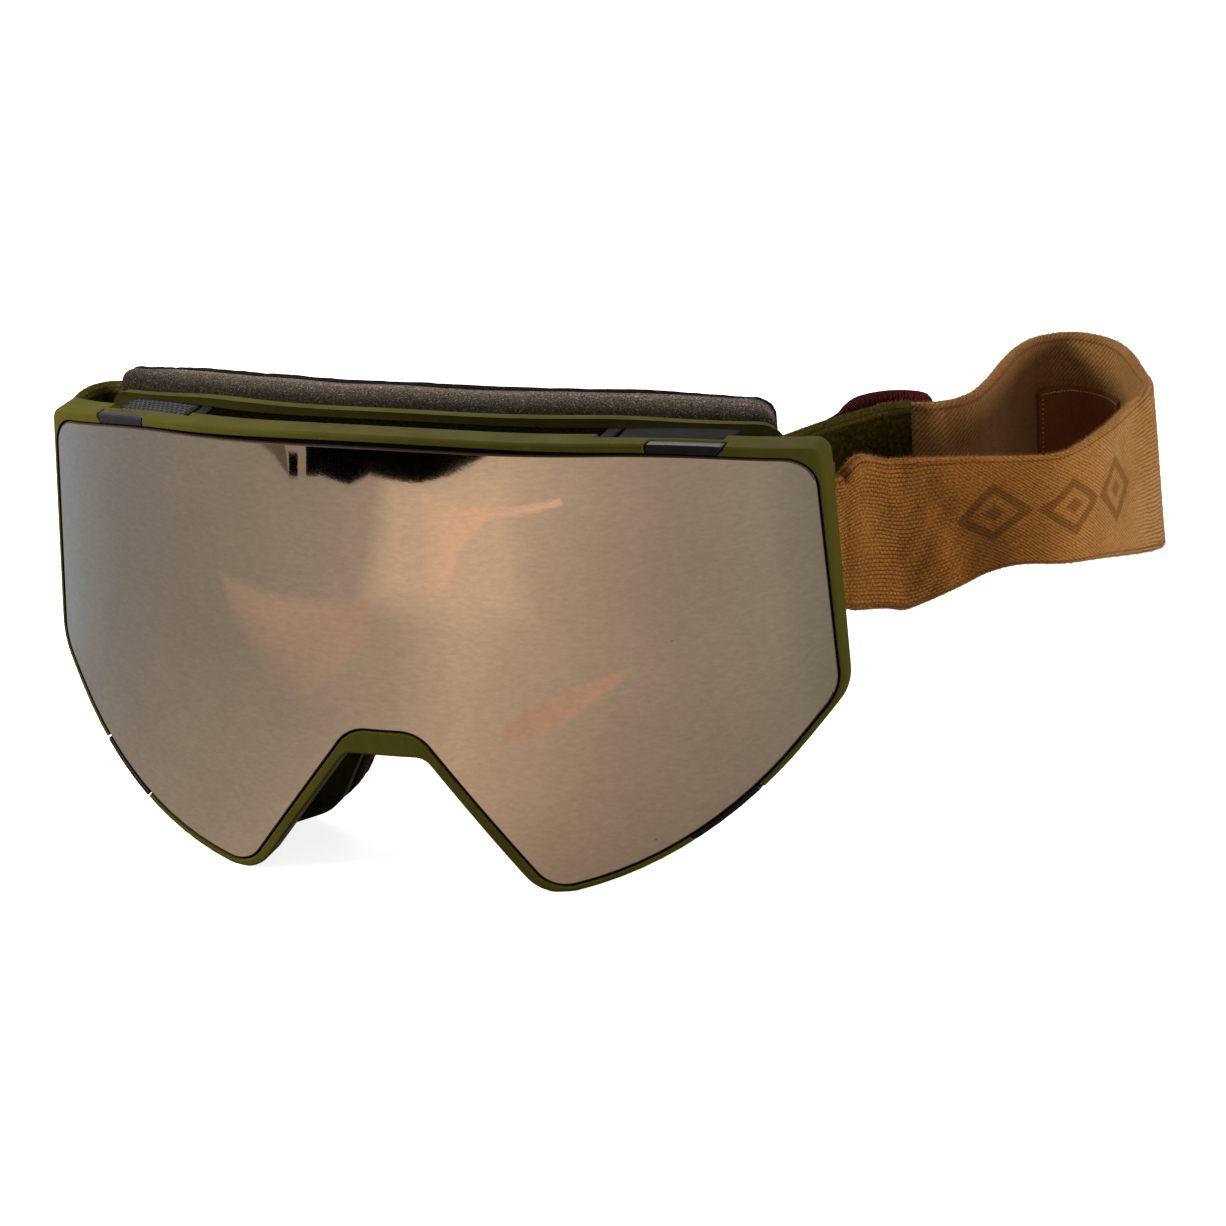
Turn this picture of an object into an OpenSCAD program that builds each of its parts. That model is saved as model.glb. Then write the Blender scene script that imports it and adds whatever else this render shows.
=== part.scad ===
// Snow goggles: a mirrored lens held by magnets in an olive frame, a foam face seat and an elastic strap.
// Millimetres. The origin is in the middle of the flat underside of the nose bridge. X is positive to the
// right as seen from the front, Y grows towards the wearer and Z is up. The numbers below measure Y from the
// front of the lens, and shifted() moves every piece to the origin.

/* [Outer lens] */
// Radius of the lens's front face, a cylinder that stands upright
lens_r = 120; // [116:1:130]
// Thickness of the outer lens
lens_t = 1.3; // [1:0.1:1.6]
// Height of the crown of the top edge
crown_z = 66.2; // [65:0.2:68]
// Half-width of the brow point, where the top edge starts to fall
brow_x = 57; // [52:1:62]
// Height of the brow point
brow_z = 63.4; // [62.4:0.2:64.4]
// Half-width of the top corner
temple_x = 83.5; // [81:0.5:85]
// Height of the top corner
temple_z = 57.8; // [56:0.2:59]
// Half-width of the side corner
cheek_x = 86.8; // [85:0.1:88]
// Height of the side corner
cheek_z = 7.8; // [4:0.2:12]
// Half-width of the lower bulge
jaw_x = 63.9; // [61:0.1:66]
// Height of the lower bulge
jaw_z = -21.4; // [-23:0.2:-19]
// Half-width of the lower tip
tip_x = 33.6; // [32:0.2:35]
// Height of the lower tip
tip_z = -28.4; // [-29:0.2:-27.4]
// Half-width of the nose corner
bridge_x = 7.6; // [6:0.2:9]
// Height of the nose corner
bridge_z = 5.5; // [4.6:0.1:7]

/* [Lens unit] */
// Bond line between the stacked layers of the lens unit
bond = 0.1; // [0.05:0.05:0.2]
// Thickness of the lens carrier and of the foam spacer
carrier_t = 2.2; // [2:0.1:2.6]
// Width of the lens carrier behind the edge of the lens
carrier_w = 4; // [3.4:0.2:4.6]
// How far the carrier stands out past the edge of the lens
carrier_out = 0.25; // [0.2:0.05:0.4]
// How much higher the carrier's crown is than the lens's
carrier_rise = 1.3; // [0.6:0.1:1.4]
// Thickness of the inner lens
inner_t = 0.8; // [0.6:0.1:1]
// Width of the foam spacer
gasket_w = 3.2; // [2.4:0.2:4]
// Diameter of a magnet
magnet_d = 3.6; // [3:0.1:3.6]
// Thickness of a lens magnet
magnet_t = 1.4; // [1:0.1:1.5]
// Thickness of a steel disc in the frame
disc_t = 0.9; // [0.6:0.1:1]
// Distance of a top tab's middle from the centre
top_tab_x = 61.2; // [59:0.2:63]
// Length of a top tab
top_tab_l = 14; // [11:0.5:15]
// Length of a lower tab
low_tab_l = 14.4; // [12:0.2:16]
// Height of a lower tab outside the lens
low_tab_h = 1.2; // [0.8:0.1:1.3]
// Depth of a tab behind the lens's front
tab_depth = 2.4; // [2:0.1:2.8]

/* [Outer frame] */
// Clearance between the lens unit and the frame
lens_gap = 0.3; // [0.3:0.05:0.5]
// How far the rim's front face stands ahead of the lens
rim_proud = 0.2; // [0:0.1:0.6]
// Width of the rim along the top
rim_top = 2.4; // [2.2:0.1:3]
// Extra height of the rim's crown
rim_rise = 0.6; // [0.4:0.1:1]
// Width of the rim at the sides
rim_side = 1.5; // [1.4:0.1:2.4]
// Width of the rim along the lower edges
rim_low = 1.6; // [1.5:0.1:2.2]
// Width of the rim along the nose flanks
rim_flank = 2.5; // [2:0.1:3.2]
// Thickness of the lens seat lip
lip_t = 1.6; // [1.5:0.1:2]
// Width of the lens seat along the top and the nose
lip_w = 4.5; // [4:0.1:5]
// Depth of the rim's ledge on the centre line
ledge_depth = 6.8; // [6.6:0.1:7.4]
// How much tighter the ledge's rear edge curves than the lens
ledge_less = 6; // [4.5:0.5:8]
// Depth of the ledge in front of the vent plates
plate_ledge = 4.8; // [4.4:0.1:5.2]
// Depth at which the frame's side walls end
rim_end = 42; // [41.6:0.1:43]
// Gap at each end of a tab
tab_gap = 0.5; // [0.3:0.1:0.8]

/* [Face frame] */
// Thickness of the walls of the face frame
wall_t = 2; // [1.6:0.1:2.4]
// Inset of the side walls from the edge of the lens
wall_side_in = 11.5; // [10.5:0.5:12]
// Inset of the cheek walls from the edge of the lens
wall_cheek_in = 9; // [8:0.5:10]
// Depth of the flange's rear face behind the lens
flange_depth = 21; // [20:0.5:23]
// Thickness of the flange
flange_t = 3.5; // [2:0.1:4]
// Width of the flange
flange_w = 12; // [11:0.5:13]
// Width of a vent window
window_w = 11; // [8:0.5:12]
// Distance between the vent windows
window_pitch = 14; // [13:0.5:15]
// Thickness of the vent foam
vent_foam_t = 1.9; // [1:0.1:2.2]
// Half-length of the top vent foam
vent_foam_x = 42.6; // [38:0.2:43]
// Inner end of a vent end piece, from the centre
tile_in = 43; // [42.9:0.1:44]
// Length of a vent end piece
tile_l = 2.8; // [2:0.1:3.2]
// Slit between an end piece and its plate
slit_w = 0.7; // [0.5:0.1:1]
// Length of a vent plate
plate_l = 20.5; // [16:0.5:22]
// Thickness of a vent plate
plate_t = 2; // [1.6:0.1:2.4]

/* [Face foam] */
// Height of the top of the face seat on the centre line
seat_top_z = 68.4; // [67:0.2:70]
// Half-width of the face seat at the temples
seat_x = 75; // [73:0.5:77]
// Width of the foam ring
foam_w = 13; // [11:0.5:14]
// Thickness of the first foam layer
foam_base_t = 6; // [4:0.5:8]
// Thickness of the second foam layer
foam_mid_t = 6; // [4:0.5:8]
// Thickness of the fleece layer
fleece_t = 4.8; // [3:0.2:6]
// How far the foam stands up past the flange along the top
foam_rise = 2.8; // [0:0.1:3]
// Share of the foam's thickness that is lost at the temples
foam_fade = 0.38; // [0:0.02:0.5]

/* [Strap] */
// Thickness of the strap
strap_t = 2; // [1.6:0.1:2.2]
// Thickness of the adjuster webbing
webbing_t = 1.8; // [1.4:0.1:2]
// Diameter of a strap pin
pin_d = 3; // [2.6:0.1:3.2]
// Distance of a strap pin from the centre plane
pin_x = 81.4; // [81.2:0.1:82.4]
// Lower end of the strap at the pin
strap_low = 22; // [18:0.5:26]
// Upper end of the strap at the pin
strap_high = 50.8; // [48:0.2:53]
// Thickness of a pin lug
lug_t = 2; // [1.6:0.1:2.6]
// Length of the patch along the strap
patch_l = 32; // [24:1:36]
// Height of the patch
patch_h = 22; // [16:1:26]
// Thickness of the patch
patch_t = 0.8; // [0.6:0.1:1.2]
// Length of the slider along the strap
slider_l = 10; // [9:0.5:12]
// Diameter of the slider's bars
bar_d = 2; // [1.6:0.1:2.2]

/* [Hidden] */

olive = "#5d5f2c";
dark_grey = "#3b3d40";
black = "#151517";
brown_foam = "#574f44";
tan = "#b88a4f";
burgundy = "#5a2228";
steel = "#a9abad";

seat_gap = 0.1;
bridge_y = 3.3;
soft_gap = 0.25;
arc_steps = 6;
round_faces = 180;
past = 1;
low_z = -45;
high_z = 85;
least_fillet = 0.6;

// Fillets of the lens outline, from the crown to the nose
crown_fillet = 350;
brow_fillet = 150;
temple_fillet = 7.5;
cheek_fillet = 10;
jaw_fillet = 75;
tip_fillet = 7.5;
bridge_fillet = 8;

lens_half = [[0, crown_z, crown_fillet], [brow_x, brow_z, brow_fillet], [temple_x, temple_z, temple_fillet],
    [cheek_x, cheek_z, cheek_fillet], [jaw_x, jaw_z, jaw_fillet], [tip_x, tip_z, tip_fillet],
    [bridge_x, bridge_z, bridge_fillet]];

ledge_r = lens_r - ledge_less;
carrier_front = lens_r - lens_t - bond;
carrier_back = carrier_front - carrier_t;
inner_front = carrier_back - bond;
inner_back = inner_front - inner_t;
lip_front = inner_back - lens_gap;
lip_back = lip_front - lip_t;
carrier_mid = (carrier_front + carrier_back) / 2;
flange_front = flange_depth - flange_t;
foam_front = flange_depth + seat_gap;

// Vertices of a whole outline from its right half, clockwise from the crown
function mirrored(half) = concat(half,
    [for (i = [len(half) - 1 : -1 : 1]) [-half[i][0], half[i][1], half[i][2]]]);

// Edge distances of a whole outline from those of its right half
function all_edges(half) = concat(half, [for (i = [len(half) - 2 : -1 : 0]) half[i]]);

function unit(v) = v / norm(v);
function turn(u, w) = u[0] * w[1] - u[1] * w[0];
function left_of(u) = [-u[1], u[0]];
function xz(v) = [v[0], v[1]];
function spun(v, a) = [v[0] * cos(a) - v[1] * sin(a), v[0] * sin(a) + v[1] * cos(a)];

// Where the line from p along u crosses the line from q along w
function crossing(p, u, q, w) = p + u * (turn(q - p, w) / turn(u, w));

// Moves each edge of an outline outwards by its own distance
function grown(v, e) = let(n = len(v)) [for (i = [0 : n - 1])
    let(a = (i + n - 1) % n,
        p = xz(v[i]),
        u = unit(p - xz(v[a])),
        w = unit(xz(v[(i + 1) % n]) - p),
        q = crossing(p + left_of(u) * e[a], u, p + left_of(w) * e[i], w),
        r = v[i][2] - sign(turn(u, w)) * (e[a] + e[i]) / 2)
    [q[0], q[1], max(r, least_fillet)]];

function corner_angle(v, i) = let(n = len(v), p = xz(v[i]))
    acos(max(-1, min(1, unit(p - xz(v[(i + n - 1) % n])) * unit(xz(v[(i + 1) % n]) - p))));
function wish(v, i) = v[i][2] * tan(corner_angle(v, i) / 2);
function share(v, i, j) = norm(xz(v[i]) - xz(v[j])) / (wish(v, i) + wish(v, j));

// Points of an outline with its fillets as arcs, each as large as its two edges allow
function rounded(v) = let(n = len(v)) [for (i = [0 : n - 1])
    let(a = (i + n - 1) % n,
        b = (i + 1) % n,
        p = xz(v[i]),
        u = unit(p - xz(v[a])),
        w = unit(xz(v[b]) - p),
        angle = corner_angle(v, i),
        t = wish(v, i) * min(1, 0.98 * share(v, a, i), 0.98 * share(v, i, b)),
        r = t / tan(angle / 2),
        s = turn(u, w) < 0 ? -1 : 1,
        start = p - u * t,
        centre = start + left_of(u) * s * r)
    for (k = [0 : arc_steps]) centre + spun(start - centre, s * angle * k / arc_steps)];

lens_vertices = mirrored(lens_half);
function same(d) = [for (i = [0 : len(lens_vertices) - 1]) d];
function lens_edges(top, side, cheek, low, flank, nose) =
    all_edges([top, top, side, cheek, low, flank, nose]);
function raised(v, rise) = [for (i = [0 : len(v) - 1]) i == 0 ? [v[i][0], v[i][1] + rise, v[i][2]] : v[i]];

lens_line = rounded(lens_vertices);
carrier_vertices = raised(grown(lens_vertices, same(carrier_out)), carrier_rise);
pocket_vertices = grown(carrier_vertices, same(lens_gap));
nose_w = bridge_z;
rim_vertices = raised(grown(lens_vertices,
    lens_edges(rim_top, rim_side, rim_low, rim_low, rim_flank, nose_w)), rim_rise);
eye_side = -wall_side_in - wall_t - past;
eye_cheek = -wall_cheek_in - wall_t - past;
eye_vertices = grown(lens_vertices, lens_edges(-lip_w, eye_side, eye_cheek, -lip_w, -lip_w, -lip_w));
wall_in = lens_edges(-1, -wall_side_in, -wall_cheek_in, -1, -1, -1);
wall_vertices = grown(lens_vertices, wall_in);

// Outer edge of the face seat, from the crown to the nose. Its flat bottom stands level with the rim's tips.
floor_z = min([for (p = rounded(rim_vertices)) p[1]]) + 0.3;
seat_half = [[0, seat_top_z, 300], [45, seat_top_z - 1.6, 120], [seat_x - 0.5, seat_top_z - 6.3, 5.5],
    [seat_x + 2, 14, 24], [54, floor_z, 26], [38, floor_z, 12], [18.5, -20.2, 12], [9.5, -1.7, 8]];
seat_widths = [1, 1, 0.9, 0.95, 1, 0.8, 0.66, 0.66];
seat_rises = all_edges([0.65, 1, 0, 0, 0, 0, 0, 0]);
seat_vertices = mirrored(seat_half);

function lens_depth(x) = lens_r - sqrt(lens_r * lens_r - x * x);
// Height of the lens's top edge at a distance from the centre
function top_z(x) = x < brow_x ? crown_z + (brow_z - crown_z) * x / brow_x
    : brow_z + (temple_z - brow_z) * (x - brow_x) / (temple_x - brow_x);
jaw_slope = atan((jaw_z - tip_z) / (jaw_x - tip_x));
cheek_slope = atan((cheek_z - jaw_z) / (cheek_x - jaw_x));
// Middle of a lower tab on the jaw's arc, up from the arc's own middle
arc_slope = (jaw_slope + cheek_slope) / 2;
arc_centre = [jaw_x, jaw_z] + spun([0, 1], arc_slope) * jaw_fillet / cos((cheek_slope - jaw_slope) / 2);
low_tab_slope = arc_slope + 4.5;
jaw_mid = arc_centre + jaw_fillet * [sin(low_tab_slope), -cos(low_tab_slope)];

magnet_in = 1.85;
pin_y = rim_end + soft_gap + strap_t + pin_d / 2 + 0.3;
lug_r = pin_d / 2 + 1.5;
lug_gap = 0.4;
pin_gap = 0.05;
bend_r = pin_d / 2 + 0.3 + strap_t / 2;

// Moves a piece so that the origin is on the nose bridge
module shifted() {
    translate([0, -bridge_y, 0]) children();
}

// A flat outline in X and Z, drawn out along Y
module slab(points, y0, y1) {
    translate([0, y1, 0]) rotate([90, 0, 0]) linear_extrude(y1 - y0) polygon(points);
}

// Everything behind a cylinder face of radius r whose apex is at a depth
module behind(depth, r) {
    translate([0, depth + r, low_z]) cylinder(r = r, h = high_z - low_z, $fn = round_faces);
}

// Everything inside radius r of the lens's own axis
module core(r) {
    behind(lens_r - r, r);
}

module shell(front, back) {
    difference() {
        core(front);
        core(back);
    }
}

module ring(outer, inner, y0, y1) {
    difference() {
        slab(outer, y0, y1);
        slab(inner, y0 - past, y1 + past);
    }
}

// A disc set square into the lens surface at a height, from one radius to another
module lens_disc(x, z, r0, r1, d) {
    translate([0, lens_r, z]) rotate([0, 0, asin(x / carrier_mid)]) translate([0, -r0, 0])
        rotate([90, 0, 0]) cylinder(d = d, h = r1 - r0, $fn = 48);
}

function magnet_places() = [[20, top_z(20) - magnet_in], [46, top_z(46) - magnet_in],
    [(jaw_x + tip_x) / 2, (jaw_z + tip_z) / 2 + magnet_in + 0.6],
    [(tip_x + bridge_x) / 2 + magnet_in, -10.2]];

module magnet_set(r0, r1, d) {
    for (m = magnet_places(), side = [-1, 1]) {
        lens_disc(side * m[0], m[1], r0, r1, d);
    }
}

// A block that cuts a stretch out of the top edge
module top_stretch(x0, x1, side) {
    translate([side < 0 ? -x1 : x0, -past, temple_z - 8]) cube([x1 - x0, rim_end + past, 24]);
}

// A block that cuts a stretch out of the jaw edge, square to it
module jaw_stretch(l, side) {
    mirror([side < 0 ? 1 : 0, 0, 0]) translate([jaw_mid[0], -past, jaw_mid[1]])
        rotate([0, -low_tab_slope, 0]) translate([-l / 2, 0, -8]) cube([l, rim_end + past, 12]);
}

module lug(z) {
    translate([pin_x, pin_y, z]) cylinder(r = lug_r, h = lug_t, $fn = 48);
    translate([pin_x - lug_r, rim_end - past, z]) cube([2 * lug_r, pin_y - rim_end + past, lug_t]);
}

module frame_rim() {
    rim_line = rounded(rim_vertices);
    pocket_line = rounded(pocket_vertices);
    color(olive) shifted() difference() {
        union() {
            difference() {
                intersection() {
                    slab(rim_line, -3, rim_end);
                    difference() {
                        core(lens_r + rim_proud);
                        behind(ledge_depth, ledge_r);
                    }
                }
                slab(pocket_line, -4, rim_end + past);
            }
            intersection() {
                slab(rounded(grown(pocket_vertices, same(0.5))), 0, rim_end);
                shell(lip_front, lip_back);
            }
            side_blocks();
            for (side = [0, 1]) {
                mirror([side, 0, 0]) {
                    lug(strap_high + lug_gap);
                    lug(strap_low - lug_gap - lug_t);
                }
            }
        }
        slab(rounded(eye_vertices), -past, rim_end + 3);
        for (side = [-1, 1]) {
            tab_notches(side);
            plate_step(side);
            translate([side * pin_x, pin_y, low_z])
                cylinder(d = pin_d + 2 * pin_gap, h = high_z - low_z, $fn = 48);
        }
        translate([-100, -past, low_z]) cube([200, rim_end, floor_z - low_z]);
        magnet_set(lip_back - past, lip_back + disc_t + pin_gap, magnet_d + 2 * pin_gap);
    }
}

// Solid ends of the frame that carry the strap's lugs, a step below the ledge
module side_blocks() {
    block = grown(lens_vertices, lens_edges(-1, rim_side, rim_low, rim_low, rim_flank, nose_w));
    difference() {
        intersection() {
            slab(rounded(block), 20, rim_end);
            core(lip_front);
            union() {
                for (side = [0, 1]) {
                    mirror([side, 0, 0]) translate([temple_x - wall_side_in - 1, 20, cheek_z + 6])
                        cube([40, 30, high_z - cheek_z]);
                }
            }
        }
        slab(rounded(grown(wall_vertices, same(seat_gap))), 10, rim_end + past);
        behind(flange_front - soft_gap, lens_r);
    }
}

// Step in the ledge that the vent plate starts behind
module plate_step(side) {
    difference() {
        intersection() {
            top_stretch(tile_in - 0.4, plate_in + plate_l + 0.4, side);
            behind(plate_ledge, lens_r);
        }
        slab(rounded(grown(lens_vertices, same(1.2))), -past, rim_end + past);
    }
}

// Room in the rim for the tabs, which leave it forwards
module tab_notches(side) {
    difference() {
        union() {
            top_stretch(top_tab_x - top_tab_l / 2 - tab_gap, top_tab_x + top_tab_l / 2 + tab_gap, side);
            jaw_stretch(low_tab_l + 2 * tab_gap, side);
        }
        core(lens_r - tab_depth - lens_gap);
        slab(rounded(carrier_vertices), -past, rim_end);
    }
}

module lens_tab(stretch_top, side) {
    outer = stretch_top ? grown(rim_vertices, same(-0.1))
        : grown(lens_vertices, same(carrier_out + low_tab_h));
    color(dark_grey) shifted() intersection() {
        ring(rounded(outer), rounded(grown(carrier_vertices, same(seat_gap))), -3, rim_end);
        shell(lens_r + rim_proud, lens_r - tab_depth);
        if (stretch_top) top_stretch(top_tab_x - top_tab_l / 2, top_tab_x + top_tab_l / 2, side);
        else jaw_stretch(low_tab_l, side);
    }
}
module lens_tab_top_left() { lens_tab(true, -1); }
module lens_tab_top_right() { lens_tab(true, 1); }
module lens_tab_low_left() { lens_tab(false, -1); }
module lens_tab_low_right() { lens_tab(false, 1); }

module outer_lens() {
    color("#8f7a64") shifted() intersection() {
        slab(lens_line, -past, rim_end);
        shell(lens_r, lens_r - lens_t);
    }
}

module lens_carrier() {
    color(black) shifted() difference() {
        intersection() {
            ring(rounded(carrier_vertices), rounded(grown(lens_vertices, same(-carrier_w))), -past, rim_end);
            shell(carrier_front, carrier_back);
        }
        magnet_set(carrier_back - past, carrier_back + magnet_t + pin_gap, magnet_d + 2 * pin_gap);
    }
}

module lens_magnets() {
    color(steel) shifted() magnet_set(carrier_back + pin_gap, carrier_back + magnet_t, magnet_d);
}

module frame_discs() {
    color(steel) shifted() magnet_set(lip_back + pin_gap, lip_back + disc_t, magnet_d);
}

module lens_gasket() {
    outer = grown(lens_vertices, same(-carrier_w - soft_gap));
    color(black) shifted() intersection() {
        ring(rounded(outer), rounded(grown(outer, same(-gasket_w))), 0, rim_end);
        shell(carrier_front, carrier_back);
    }
}

module inner_lens() {
    color("#c9ccd0", 0.4) shifted() intersection() {
        slab(rounded(grown(lens_vertices, same(-carrier_w - soft_gap))), 0, rim_end);
        shell(inner_front, inner_back);
    }
}

module face_frame() {
    wall_line = rounded(wall_vertices);
    inside_line = rounded(grown(wall_vertices, same(-wall_t)));
    seat_in = [for (w = all_edges(seat_widths)) -flange_w * w];
    color(olive) shifted() difference() {
        union() {
            difference() {
                intersection() {
                    ring(wall_line, inside_line, 3, 60);
                    core(lip_back - seat_gap);
                }
                behind(flange_depth - 0.5, lens_r);
            }
            intersection() {
                ring(rounded(seat_vertices), rounded(grown(seat_vertices, seat_in)), 10, 60);
                difference() {
                    behind(flange_front, lens_r);
                    behind(flange_depth, lens_r);
                }
            }
        }
        vent_windows();
    }
}

window_front = ledge_depth + 2;
module vent_windows() {
    for (side = [-1, 1], i = [0 : 2]) {
        x = (i + 0.5) * window_pitch;
        translate([side * x - window_w / 2, lens_depth(x) + window_front, brow_z - 12])
            cube([window_w, flange_front - window_front - 1.6, 20]);
        mirror([side < 0 ? 1 : 0, 0, 0])
            translate([(cheek_x + jaw_x) / 2, lens_depth(jaw_x) + window_front + 3, (cheek_z + jaw_z) / 2])
            rotate([0, -cheek_slope, 0]) translate([(i - 1) * window_pitch * 0.7 - 3.5, 0, 2])
            cube([7, flange_front - window_front - 6, wall_cheek_in + 4]);
    }
}

// The trough between the rim's ledge and the flange
module trough() {
    difference() {
        behind(ledge_depth + lens_gap, ledge_r);
        behind(flange_front - soft_gap, lens_r);
    }
}

module on_wall(t) {
    intersection() {
        ring(rounded(grown(wall_vertices, same(seat_gap + t))),
            rounded(grown(wall_vertices, same(seat_gap))), 3, 60);
        trough();
        children();
    }
}

module vent_foam_top() {
    color(black) shifted() on_wall(vent_foam_t)
        translate([-vent_foam_x, 0, temple_z]) cube([2 * vent_foam_x, 60, 24]);
}

module vent_tile(side) {
    color(dark_grey) shifted() on_wall(plate_t) top_stretch(tile_in, tile_in + tile_l, side);
}
module vent_tile_left() { vent_tile(-1); }
module vent_tile_right() { vent_tile(1); }

plate_in = tile_in + tile_l + slit_w;
module vent_plate(side) {
    color(dark_grey) shifted() on_wall(plate_t) top_stretch(plate_in, plate_in + plate_l, side);
}
module vent_plate_left() { vent_plate(-1); }
module vent_plate_right() { vent_plate(1); }

module vent_foam_low(side) {
    color(black) shifted() intersection() {
        ring(rounded(grown(wall_vertices, same(seat_gap + vent_foam_t))),
            rounded(grown(wall_vertices, same(seat_gap))), 10, 60);
        difference() {
            core(lip_back - soft_gap);
            behind(flange_front - soft_gap, lens_r);
        }
        mirror([side < 0 ? 1 : 0, 0, 0])
            translate([(cheek_x + jaw_x) / 2, 10, (cheek_z + jaw_z) / 2]) rotate([0, -cheek_slope, 0])
            translate([-window_pitch, 0, 2]) cube([window_pitch * 2, 40, wall_cheek_in + 4]);
    }
}
module vent_foam_low_left() { vent_foam_low(-1); }
module vent_foam_low_right() { vent_foam_low(1); }

// Depth in the foam at a distance from the centre: the foam thins towards the temples
function ease(t) = let(c = max(0, min(1, t))) c * c * (3 - 2 * c);
function foam_depth(x, y) = lens_depth(x) + foam_front
    + (y - foam_front) * (1 - foam_fade * ease((abs(x) - 28) / 45));

// One glued layer of the face seat. Each profile row is the share of the ring's width, an inset and a depth.
module foam_layer(profile) {
    widths = all_edges(seat_widths);
    lines = [for (row = profile) let(rise = foam_rise * ease((row[2] - foam_front) / 8))
        rounded(grown(seat_vertices, [for (i = [0 : len(widths) - 1])
            rise * seat_rises[i] - row[0] * foam_w * widths[i] - row[1]]))];
    skin_loop([for (j = [0 : len(profile) - 1])
        [for (p = lines[j]) [p[0], foam_depth(p[0], profile[j][2]), p[1]]]]);
}

// Closed skin of a ring that runs through a loop of closed lines, all with as many points
module skin_loop(lines) {
    n = len(lines[0]);
    m = len(lines);
    polyhedron(points = [for (line = lines, p = line) p],
        faces = [for (j = [0 : m - 1], i = [0 : n - 1])
            let(a = j * n + i, b = j * n + (i + 1) % n, c = ((j + 1) % m) * n + (i + 1) % n,
                d = ((j + 1) % m) * n + i)
            each (j < m - 1 ? [[a, c, b], [a, d, c]] : [[a, d, b], [b, d, c]])]);
}

draw = 0.5;
module foam_slab(y0, y1) {
    color(brown_foam) shifted() foam_layer([[0, draw, y0], [0, 0, (y0 + y1) / 2], [0, draw, y1],
        [1, -draw, y1], [1, 0, (y0 + y1) / 2], [1, -draw, y0]]);
}

module face_foam_base() {
    y0 = foam_front;
    y1 = y0 + foam_base_t;
    foam_slab(y0, y1);
}

module face_foam_mid() {
    y0 = foam_front + foam_base_t + seat_gap;
    y1 = y0 + foam_mid_t;
    foam_slab(y0, y1);
}

module face_fleece() {
    y0 = foam_front + foam_base_t + foam_mid_t + 2 * seat_gap;
    color(black) shifted() foam_layer([[0, draw, y0], [0, draw, y0 + fleece_t * 0.4],
        [0.1, draw, y0 + fleece_t * 0.8], [0.35, 0, y0 + fleece_t], [0.65, 0, y0 + fleece_t],
        [0.9, -draw, y0 + fleece_t * 0.8], [1, -draw, y0 + fleece_t * 0.4], [1, -draw, y0]]);
}

module strap_pin(side) {
    color(steel) shifted() translate([side * pin_x, pin_y, strap_low - lug_gap - lug_t])
        cylinder(d = pin_d, h = strap_high - strap_low + 2 * lug_gap + 2 * lug_t, $fn = 48);
}
module strap_pin_left() { strap_pin(-1); }
module strap_pin_right() { strap_pin(1); }

// Loop of a strap's sewn end round its pin, as seen on the right: X, Y, low edge, high edge, flare
function pin_loop() = concat(
    [for (p = [[11.1, 12.9], [7.7, 9.8], [3.5, 5.4], [0.6, 3.5], [-1.7, 2.3]])
        [pin_x + p[0], pin_y + p[1], strap_low + 1.5, strap_high - 2, 0]],
    [for (a = [180 : 36 : 360])
        [pin_x + bend_r * cos(a), pin_y + bend_r * sin(a), strap_low, strap_high, 0]]);

// Routes of the strap pieces, chosen by hand, each row as in pin_loop
tan_route = [[85, 48, 21.6, 50.9, 0], [86.8, 49.5, 20.8, 56.2, 0], [90.6, 54.2, 19.8, 51.8, 0],
    [96.2, 59.3, 18.5, 51.4, 0],
    [106, 64, 22.5, 50.8, 0], [112, 65.2, 25.6, 50.9, 0], [118.6, 66.2, 27.4, 51, 0],
    [126.6, 70.6, 26.8, 51, 0.4], [131.6, 83.6, 24, 52.2, 1.2], [134, 105, 17.6, 52.7, 2.4],
    [134.4, 120, 14.2, 52.4, 3], [131, 132, 12.4, 51.8, 2], [125.5, 146, 11.8, 51.8, 0.8],
    [118.8, 156.6, 11.8, 51.8, 0], [109.8, 161, 11.8, 51.8, 0], [102.8, 156.4, 11.8, 51.8, 0],
    [100.2, 147.6, 11.8, 51.8, 0], [99.4, 136, 11.8, 51.8, 0], [99.4, 120, 11.8, 51.8, 0],
    [98.2, 109.4, 11.8, 51.8, 0], [94.2, 103.8, 11.8, 51.8, 0], [89, 102.3, 11.8, 51.8, 0],
    [83.8, 101.1, 11.8, 51.8, 0], [79.8, 98.6, 11.8, 51.8, 0]];
run_low = 11.8;
run_high = 51.8;
run_dir = unit([-1, 0.035]);
run_out = [run_dir[1], -run_dir[0]];
run_mid = [41, 62.6];
function on_run(s, off) = run_mid + run_dir * s + run_out * off;
function run_row(s, off) = [on_run(s, off)[0], on_run(s, off)[1], run_low, run_high, 0];
olive_start = [[87, 99.7, 11.8, 51.8, 0], [84.2, 98.4, 11.8, 51.8, 0], [80.8, 95.2, 11.8, 51.8, 0],
    [77, 89.4, 11.8, 51.8, 0], [73.3, 83.2, 11.8, 51.8, 0], [69.8, 76, 11.8, 51.8, 0],
    [67, 69.8, 11.8, 51.8, 0], [64, 65, 11.8, 51.8, 0], [59.6, 62.4, 11.8, 51.8, 0]];
olive_end = [[22, 63.6, 11.8, 51.8, 0], [0, 66.4, 11.8, 51.8, 0], [-30, 70.6, 11.8, 51.8, 0],
    [-60, 76.6, 11.8, 51.8, 0], [-80, 82.6, 11.8, 51.8, 0], [-89, 84.8, 11.8, 51.8, 0],
    [-94.4, 83.6, 12.6, 51.8, 0], [-96.8, 78, 14, 51.8, 0], [-95.6, 69.6, 17, 51.8, 0],
    [-92.4, 60.6, 19.6, 52.4, 0], [-88.6, 53, 21.4, 52.6, 0], [-85, 48, 21.6, 50.9, 0]];
webbing_off = strap_t / 2 + bar_d + webbing_t / 2 + 2 * soft_gap;
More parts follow.
